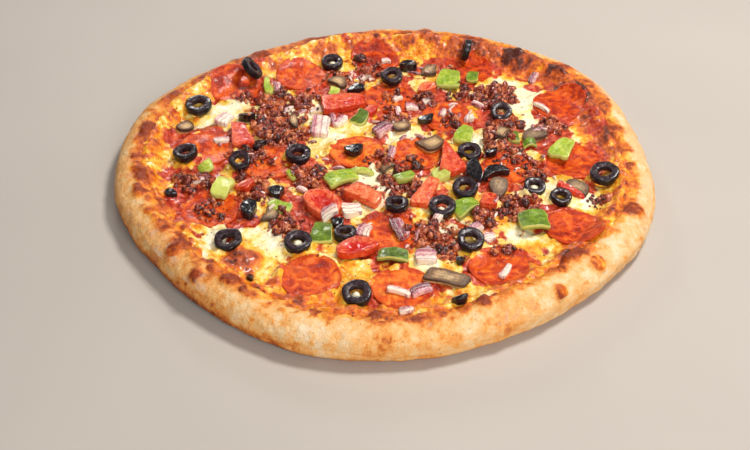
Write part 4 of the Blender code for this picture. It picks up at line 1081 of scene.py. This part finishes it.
class Finish:
    """A Principled material, with short calls for the nodes that drive its colour and relief.

    The shine is its specular level. The glow is light spread under the surface: its weight, its
    millimetres and its reach in red, green and blue. The coat is a clear coat: weight, roughness.
    """

    def __init__(self, name, shine=0.5, glow=(0, 1, (1, 1, 1)), coat=(0, 0), roughness=0.5):
        self.material = bpy.data.materials.new(name)
        self.material.use_nodes = True
        self.tree = self.material.node_tree
        self.shader = self.tree.nodes["Principled BSDF"]
        names = ("Specular IOR Level", "Roughness", "Subsurface Weight", "Subsurface Scale",
                 "Subsurface Radius", "Coat Weight", "Coat Roughness")
        for socket, value in zip(names, (shine, roughness, glow[0], glow[1] * MM, glow[2], *coat)):
            self.shader.inputs[socket].default_value = value
        self.place = self.tree.nodes.new("ShaderNodeTexCoord").outputs["Object"]

    def node(self, kind, inputs, **settings):
        made = self.tree.nodes.new(kind)
        for setting, value in settings.items():
            setattr(made, setting, value)
        for socket, value in inputs.items():
            if isinstance(value, bpy.types.NodeSocket):
                self.tree.links.new(value, made.inputs[socket])
            else:
                made.inputs[socket].default_value = value
        return made

    def noise(self, size, detail=3.0, distortion=0.0):
        """Noise with features of this size in millimetres, about 0.5."""
        inputs = {"Vector": self.place, "Scale": 1 / (size * MM), "Detail": detail, "Distortion": distortion}
        return self.node("ShaderNodeTexNoise", inputs).outputs["Fac"]

    def cells(self, size):
        """Distance from the nearest of scattered points, about this many millimetres apart."""
        inputs = {"Vector": self.place, "Scale": 1 / (size * MM)}
        return self.node("ShaderNodeTexVoronoi", inputs).outputs["Distance"]

    def mark(self, name):
        return self.node("ShaderNodeAttribute", {}, attribute_name=name).outputs["Fac"]

    def blend(self, total, *terms):
        """A first value plus each further one times its share."""
        for value, share in terms:
            inputs = {0: value, 1: share, 2: total}
            total = self.node("ShaderNodeMath", inputs, operation="MULTIPLY_ADD").outputs[0]
        return total

    def stripes(self, waves, wander):
        """Stripes along a cut piece, from -1 to 1: the sine of the way across it, made to wander."""
        inputs = {0: self.blend(0.0, (self.mark("across"), waves), (self.noise(5, 2), wander))}
        return self.node("ShaderNodeMath", inputs, operation="SINE").outputs[0]

    def span(self, value, low, high, to_low=0.0, to_high=1.0):
        """The value's run from low to high, carried smoothly over to another run."""
        inputs = {"Value": value, "From Min": low, "From Max": high, "To Min": to_low, "To Max": to_high}
        return self.node("ShaderNodeMapRange", inputs, interpolation_type="SMOOTHSTEP").outputs["Result"]

    def uneven(self, size, detail, low, high):
        """A roughness that noise carries from low to high."""
        return self.span(self.noise(size, detail), 0.35, 0.65, low, high)

    def ramp(self, value, *stops):
        """Colours along a value: each stop is a place from 0 to 1 and a screen colour."""
        made = self.node("ShaderNodeValToRGB", {"Fac": value})
        points = made.color_ramp.elements
        while len(points) < len(stops):
            points.new(1.0)
        for point, (place, colour) in zip(points, stops):
            point.position = place
            point.color = paint(*colour)
        return made.outputs["Color"]

    def cover(self, share, over):
        """Lays another colour, from a node or three screen values, over the colour so far."""
        second = over if isinstance(over, bpy.types.NodeSocket) else paint(*over)
        inputs = {"Factor": share, 6: self.colour, 7: second}
        self.colour = self.node("ShaderNodeMix", inputs, data_type="RGBA").outputs[2]

    def tint(self, over, value, low, high, most=1.0):
        """Lays a colour over the rest: none of it where the value is low, its most where it is high."""
        self.cover(self.span(value, low, high, 0, most), over)

    def wear(self, roughness=None, relief=None, depth=0.3):
        """Links the finished values to the shader; relief is a height, depth its millimetres."""
        self.tree.links.new(self.colour, self.shader.inputs["Base Color"])
        if roughness is not None:
            self.tree.links.new(roughness, self.shader.inputs["Roughness"])
        if relief is not None:
            bump = self.node("ShaderNodeBump", {"Height": relief, "Distance": depth * MM, "Strength": 1.0})
            self.tree.links.new(bump.outputs["Normal"], self.shader.inputs["Normal"])
        return self.material


# Colours along the bake of the cheese, of the bare dough and of the cheese that runs over the rim
CHEESE_STOPS = (
    (0.0, (254, 242, 210)), (0.14, (252, 226, 150)), (0.27, (250, 194, 56)), (0.42, (242, 150, 30)),
    (0.56, (224, 108, 26)), (0.72, (188, 82, 32)), (0.88, (138, 56, 26)), (1.0, (84, 32, 16)),
)
DOUGH_STOPS = (
    (0.0, (240, 214, 178)), (0.2, (238, 195, 140)), (0.38, (236, 171, 97)), (0.54, (222, 136, 57)),
    (0.7, (190, 97, 36)), (0.85, (138, 60, 24)), (1.0, (84, 36, 18)),
)
RIM_STOPS = (
    (0.06, (248, 200, 94)), (0.29, (238, 153, 47)), (0.5, (214, 106, 34)), (0.78, (142, 56, 24)),
)
SAUCE_STOPS = ((0.3, (136, 28, 14)), (0.5, (190, 54, 24)), (0.7, (230, 104, 44)))
MEAT_STOPS = ((0.42, (72, 20, 8)), (0.6, (132, 40, 14)), (0.76, (184, 76, 28)), (0.92, (222, 136, 70)))
SAUSAGE_STOPS = ((0.34, (44, 12, 8)), (0.52, (106, 26, 13)), (0.72, (162, 52, 25)), (0.9, (218, 128, 76)))
PEPPERONI_STOPS = (
    (0.3, (142, 30, 8)), (0.42, (184, 50, 12)), (0.56, (222, 84, 14)), (0.72, (240, 132, 40)),
)
TOMATO_STOPS = (
    (0.32, (186, 26, 8)), (0.46, (212, 50, 16)), (0.56, (228, 88, 42)), (0.68, (238, 132, 84)),
)
PEPPER_STOPS = (
    (0.2, (72, 90, 24)), (0.42, (98, 124, 30)), (0.66, (128, 158, 32)), (0.9, (172, 188, 52)),
    (1.0, (208, 212, 100)),
)
MUSHROOM_STOPS = ((0.4, (218, 182, 132)), (0.75, (186, 146, 102)), (0.92, (126, 90, 60)))
ONION_STOPS = (
    (0.2, (250, 236, 214)), (0.46, (238, 206, 190)), (0.68, (196, 112, 128)), (0.84, (134, 36, 68)),
    (1.0, (84, 16, 44)),
)


def cheese_finish():
    made = Finish("baked_cheese", shine=0.4, glow=(0.1, 3, (1.0, 0.55, 0.25)), coat=(0.24, 0.08))
    mottle, bubble, edge = made.noise(3.4, 4.0, 0.6), made.cells(2.8), made.mark("edge")
    freckle = (made.noise(1.1), made.span(edge, 0, 1, 0.06, 0.26))
    dip = (bubble, made.span(edge, 0, 1, -0.06, -0.26))
    bake = made.blend(made.mark("bake"), (mottle, 0.5), freckle, dip, (-0.25, 1.0))
    made.colour, red = made.ramp(bake, *CHEESE_STOPS), made.ramp(made.noise(4, 4), *SAUCE_STOPS)
    made.tint(red, made.blend(made.mark("sauce"), (mottle, 0.9)), 0.7, 1.15)
    browned = made.ramp(made.blend(made.noise(1.8), (mottle, 0.4)), *MEAT_STOPS)
    made.tint(browned, made.blend(made.mark("meat"), (mottle, 0.7)), 0.6, 0.95)
    made.tint((84, 44, 22), made.cells(5.2), 0.13, 0.09)
    dull = made.blend(made.uneven(4, 3, 0.16, 0.42), (made.span(bake, 0.45, 0.75), 0.25))
    relief = made.blend(made.noise(1.7, 4.0, 0.3), (made.noise(4.5, 2.0), 1.2))
    relief = made.blend(relief, (bubble, made.span(edge, 0, 1, -0.1, -0.8)))
    return made.wear(dull, relief, 0.75)


def dough_finish():
    made = Finish("baked_dough", shine=0.25, glow=(0.08, 3, (1.0, 0.6, 0.35)))
    broad = made.noise(6, 5.0, 0.5)
    bake = made.blend(made.mark("bake"), (broad, 0.6), (made.noise(1.3), 0.36), (-0.46, 1.0))
    made.colour = made.ramp(bake, *DOUGH_STOPS)
    flour = made.blend(made.mark("flour"), (broad, 0.9))
    made.tint((240, 212, 174), flour, 0.55, 1.3, 0.75)
    browned = made.ramp(made.blend(bake, (made.cells(3.2), -0.25), (0.1, 1.0)), *RIM_STOPS)
    cheesy = made.span(made.blend(made.mark("cheesy"), (broad, 0.7)), 0.5, 1.1)
    made.cover(cheesy, browned)
    made.tint((182, 104, 50), made.cells(4.4), 0.17, 0.08, 0.55)
    relief = made.blend(made.noise(2.2, 5.0, 0.2), (made.noise(0.8, 2.0), 0.4))
    return made.wear(made.span(cheesy, 0, 1, 0.7, 0.4), relief, 0.9)


def pepperoni_finish():
    made = Finish("pepperoni", shine=0.2, glow=(0.05, 2, (1.0, 0.3, 0.15)), coat=(0.08, 0.08))
    value = made.blend(-0.09, (made.mark("tone"), 0.2), (made.noise(5.5, 4.0, 0.6), 1.0))
    made.colour = made.ramp(value, *PEPPERONI_STOPS)
    made.tint((196, 62, 16), made.blend(made.mark("edge"), (made.noise(4), 0.16)), 0.9, 1.1)
    made.tint((236, 134, 66), made.cells(2.6), 0.26, 0.14, 0.4)
    made.tint((140, 28, 12), made.noise(9, 2.0), 0.58, 0.7, 0.35)
    relief = made.blend(made.noise(2.6, 4.0), (made.noise(0.9, 2.0), 0.35))
    return made.wear(made.uneven(5, 3, 0.24, 0.5), relief, 0.8)


def olive_finish():
    made = Finish("black_olive", shine=0.4, coat=(0.1, 0.1))
    made.colour = made.ramp(made.noise(3), (0.35, (14, 11, 14)), (0.65, (34, 27, 33)))
    inside = made.ramp(made.noise(2), (0.35, (34, 22, 28)), (0.7, (74, 50, 58)))
    made.tint(inside, made.mark("inner"), 0.1, 0.5, 0.8)
    return made.wear(made.uneven(2.6, 3, 0.18, 0.42), made.noise(2.0), 0.3)


def olive_bits_finish():
    made = Finish("olive_pieces", shine=0.5, coat=(0.15, 0.1))
    made.colour = made.ramp(made.noise(2.6), (0.35, (12, 10, 13)), (0.6, (30, 23, 29)), (0.75, (52, 38, 44)))
    return made.wear(made.uneven(2.6, 3, 0.14, 0.34), made.noise(3.0, 2.0), 0.3)


def tomato_finish():
    made = Finish("tomato", shine=0.35, glow=(0.05, 3, (1.0, 0.3, 0.15)), coat=(0.25, 0.06))
    across = made.mark("across")
    value = made.blend(-0.14, (made.noise(3.0, 4, 1.2), 1.0), (made.mark("tone"), 0.3))
    made.colour = made.ramp(value, *TOMATO_STOPS)
    skin = made.blend(across, (made.noise(4, 2), 0.3))
    made.tint((184, 24, 12), skin, 0.75, 1.05, 0.85)
    made.tint((214, 62, 34), made.mark("wall"), 0.3, 1.0, 0.5)
    strands = made.blend(across, (made.noise(2.4, 3, 3.0), 1.6))
    made.tint((244, 140, 90), strands, 0.95, 1.15, 0.25)
    gel = made.blend(made.mark("deep"), (made.noise(3), 1.2))
    made.tint((200, 18, 8), gel, 1.4, 2.2, 0.9)
    made.tint((248, 176, 104), made.cells(3.0), 0.2, 0.12, 0.6)
    return made.wear(made.uneven(4, 2, 0.14, 0.34), made.noise(1.7, 4.0), 0.6)


def pepper_finish():
    made = Finish("green_pepper", shine=0.35, glow=(0.04, 2, (0.5, 1.0, 0.2)), coat=(0.2, 0.08))
    tone = made.mark("tone")
    value = made.blend(-0.5, (tone, 1.0), (made.noise(3.6, 4, 1.4), 0.95), (made.noise(9, 2), 0.6))
    made.colour = made.ramp(value, *PEPPER_STOPS)
    veins = made.span(made.stripes(11.0, 6.0), 0.3, 0.95)
    veins = made.blend(0.0, (veins, made.span(tone, 0.35, 0.6, 0, 0.3)))
    made.cover(veins, (206, 220, 130))
    rim = made.span(made.blend(made.mark("share"), (made.noise(2), 0.1)), 0.97, 1.03, 0, 0.8)
    made.cover(made.blend(rim, (made.mark("wall"), 0.3)), (212, 214, 118))
    return made.wear(made.uneven(4, 2, 0.26, 0.46), made.noise(2.2), 0.5)


def mushroom_finish():
    made = Finish("mushroom", shine=0.4, glow=(0.06, 2, (1.0, 0.2, 0.1)))
    share = made.mark("share")
    made.colour = made.ramp(made.blend(share, (made.noise(4, 3, 0.3), 0.4)), *MUSHROOM_STOPS)
    made.tint((72, 46, 30), made.blend(share, (made.noise(3, 2), 0.3)), 1.0, 1.12, 0.95)
    grey = made.blend(made.noise(6), (made.mark("tone"), 0.5))
    made.tint((104, 84, 68), grey, 0.6, 1.0, 0.65)
    made.tint((70, 52, 40), made.stripes(14.0, 7.0), 0.4, 1.0, 0.35)
    return made.wear(made.uneven(4, 2, 0.26, 0.5), made.noise(1.4, 4.0), 0.7)


def onion_finish():
    made = Finish("red_onion", shine=0.45, glow=(0.15, 2, (1.0, 0.2, 0.1)))
    tone, across, layers = made.mark("tone"), made.mark("across"), made.stripes(9.0, 5.0)
    value = made.blend(-0.04, (tone, 0.62), (across, 0.28), (made.noise(2.6, 3, 1.0), 0.6))
    made.colour = made.ramp(value, *ONION_STOPS)
    made.tint((250, 232, 216), made.noise(1.4, 2, 2.0), 0.5, 0.62, 0.4)
    made.tint((150, 62, 96), layers, 0.6, 0.95, 0.6)
    made.tint((250, 236, 222), layers, -0.7, -0.98, 0.4)
    return made.wear(made.uneven(4, 2, 0.2, 0.4), made.noise(1.5), 0.5)


def sausage_finish():
    made = Finish("crumbled_sausage", shine=0.5, coat=(0.6, 0.07))
    value = made.blend(-0.45, (made.noise(1.7), 0.9), (made.mark("tone"), 0.5), (made.noise(8, 2), 0.8))
    made.colour = made.ramp(value, *SAUSAGE_STOPS)
    return made.wear(made.uneven(2.2, 2, 0.2, 0.5), made.noise(0.9), 0.6)


def make_floor():
    """A flat pale sheet under the pizza that reaches past the camera's view."""
    made = Finish("plain_floor", roughness=0.8)
    made.colour = made.ramp(made.noise(240, 2), (0.3, (184, 176, 168)), (0.7, (190, 182, 174)))
    mesh = bpy.data.meshes.new("floor")
    mesh.from_pydata([(-3, -3, 0), (3, -3, 0), (3, 5, 0), (-3, 5, 0)], [], [(0, 1, 2, 3)])
    mesh.materials.append(made.wear())
    put("floor", mesh)


def make_camera():
    """A camera 743 mm from the pizza, 39 degrees above it, rolled by one degree."""
    camera = bpy.data.cameras.new("camera")
    camera.sensor_fit = "HORIZONTAL"
    camera.sensor_width = 36
    camera.lens = 56.82
    aim = Matrix.Translation((-0.00515, -0.0463, 0)) @ Matrix.Rotation(math.radians(90 - 39.36), 4, "X")
    made = put("camera", camera)
    made.matrix_world = aim @ Matrix.Translation((0, 0, 0.743)) @ Matrix.Rotation(math.radians(0.949), 4, "Z")
    bpy.context.scene.camera = made


def soft_light(name, spot, size, watts, tint):
    """A square studio light that looks at the middle of the pizza."""
    light = bpy.data.lights.new(name, "AREA")
    light.size, light.energy, light.color = size, watts, tint
    made = put(name, light)
    made.location = spot
    made.rotation_euler = (-Vector(spot)).to_track_quat("-Z", "Y").to_euler()


def light_scene():
    """A soft light high on the right, a low one behind for highlights, a broad one in front and a dim pale
    sky.
    """
    soft_light("key_light", (0.48, 0.3, 1.08), 0.26, 12.5, (1.0, 0.97, 0.93))
    soft_light("back_light", (-0.3, 1.0, 0.5), 0.2, 2.6, (1.0, 0.98, 0.95))
    soft_light("front_light", (0.35, -1.1, 0.7), 0.7, 11, (1.0, 0.97, 0.93))
    world = bpy.data.worlds.new("pale_sky")
    world.use_nodes = True
    world.node_tree.nodes["Background"].inputs["Color"].default_value = (1.0, 0.97, 0.93, 1)
    world.node_tree.nodes["Background"].inputs["Strength"].default_value = 0.2
    bpy.context.scene.world = world
    bpy.context.scene.view_settings.view_transform = "Standard"


def main():
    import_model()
    make_camera()
    light_scene()
    make_floor()
    crumbs = crumb_places()
    bubbles = rim_bubbles()
    pile = Pile()
    make_dough(dough_finish(), bubbles)
    make_cheese(cheese_finish(), bubbles, crumbs, pile)
    make_pepperoni(pepperoni_finish(), pile)
    make_olives(olive_finish(), pile)
    make_cuts("mushroom_slices", mushroom_finish(), "mushroom", MUSHROOMS, SMALL_MUSHROOMS, LOOSE_MUSHROOMS,
              (block, moon), MUSHROOM_THICK, 1.0, (0.5,), pile, (0.8,))
    make_cuts("tomato_pieces", tomato_finish(), "tomato", TOMATOES, SMALL_TOMATOES, LOOSE_TOMATOES,
              (taper, oval, block, taper, wedge, moon, taper), TOMATO_THICK, 0.6, TOMATO_TONES, pile,
              (0.6, 2.6, 0.5, 0.8, 0.7, 2.8, 0.9), 0.0)
    make_cuts("pepper_pieces", pepper_finish(), "green_pepper", PEPPERS, SMALL_PEPPERS, LOOSE_PEPPERS,
              (strip, block, strip, block, taper, taper, strip, taper, block), PEPPER_THICK, 2.2,
              PEPPER_TONES, pile, (0.5, 0.9))
    make_cuts("onion_pieces", onion_finish(), "onion", ONIONS, SMALL_ONIONS, LOOSE_ONIONS + slivers(),
              (strip, block), ONION_THICK, 0.8, (0.3,), pile, (0.9,), 0.07)
    make_cuts("olive_pieces", olive_bits_finish(), "olive", (), SMALL_OLIVES, LOOSE_OLIVES,
              (oval,), 4.5, 0.8, (), pile, (2.2,), 0.24)
    make_sausage(sausage_finish(), crumbs, pile)


main()
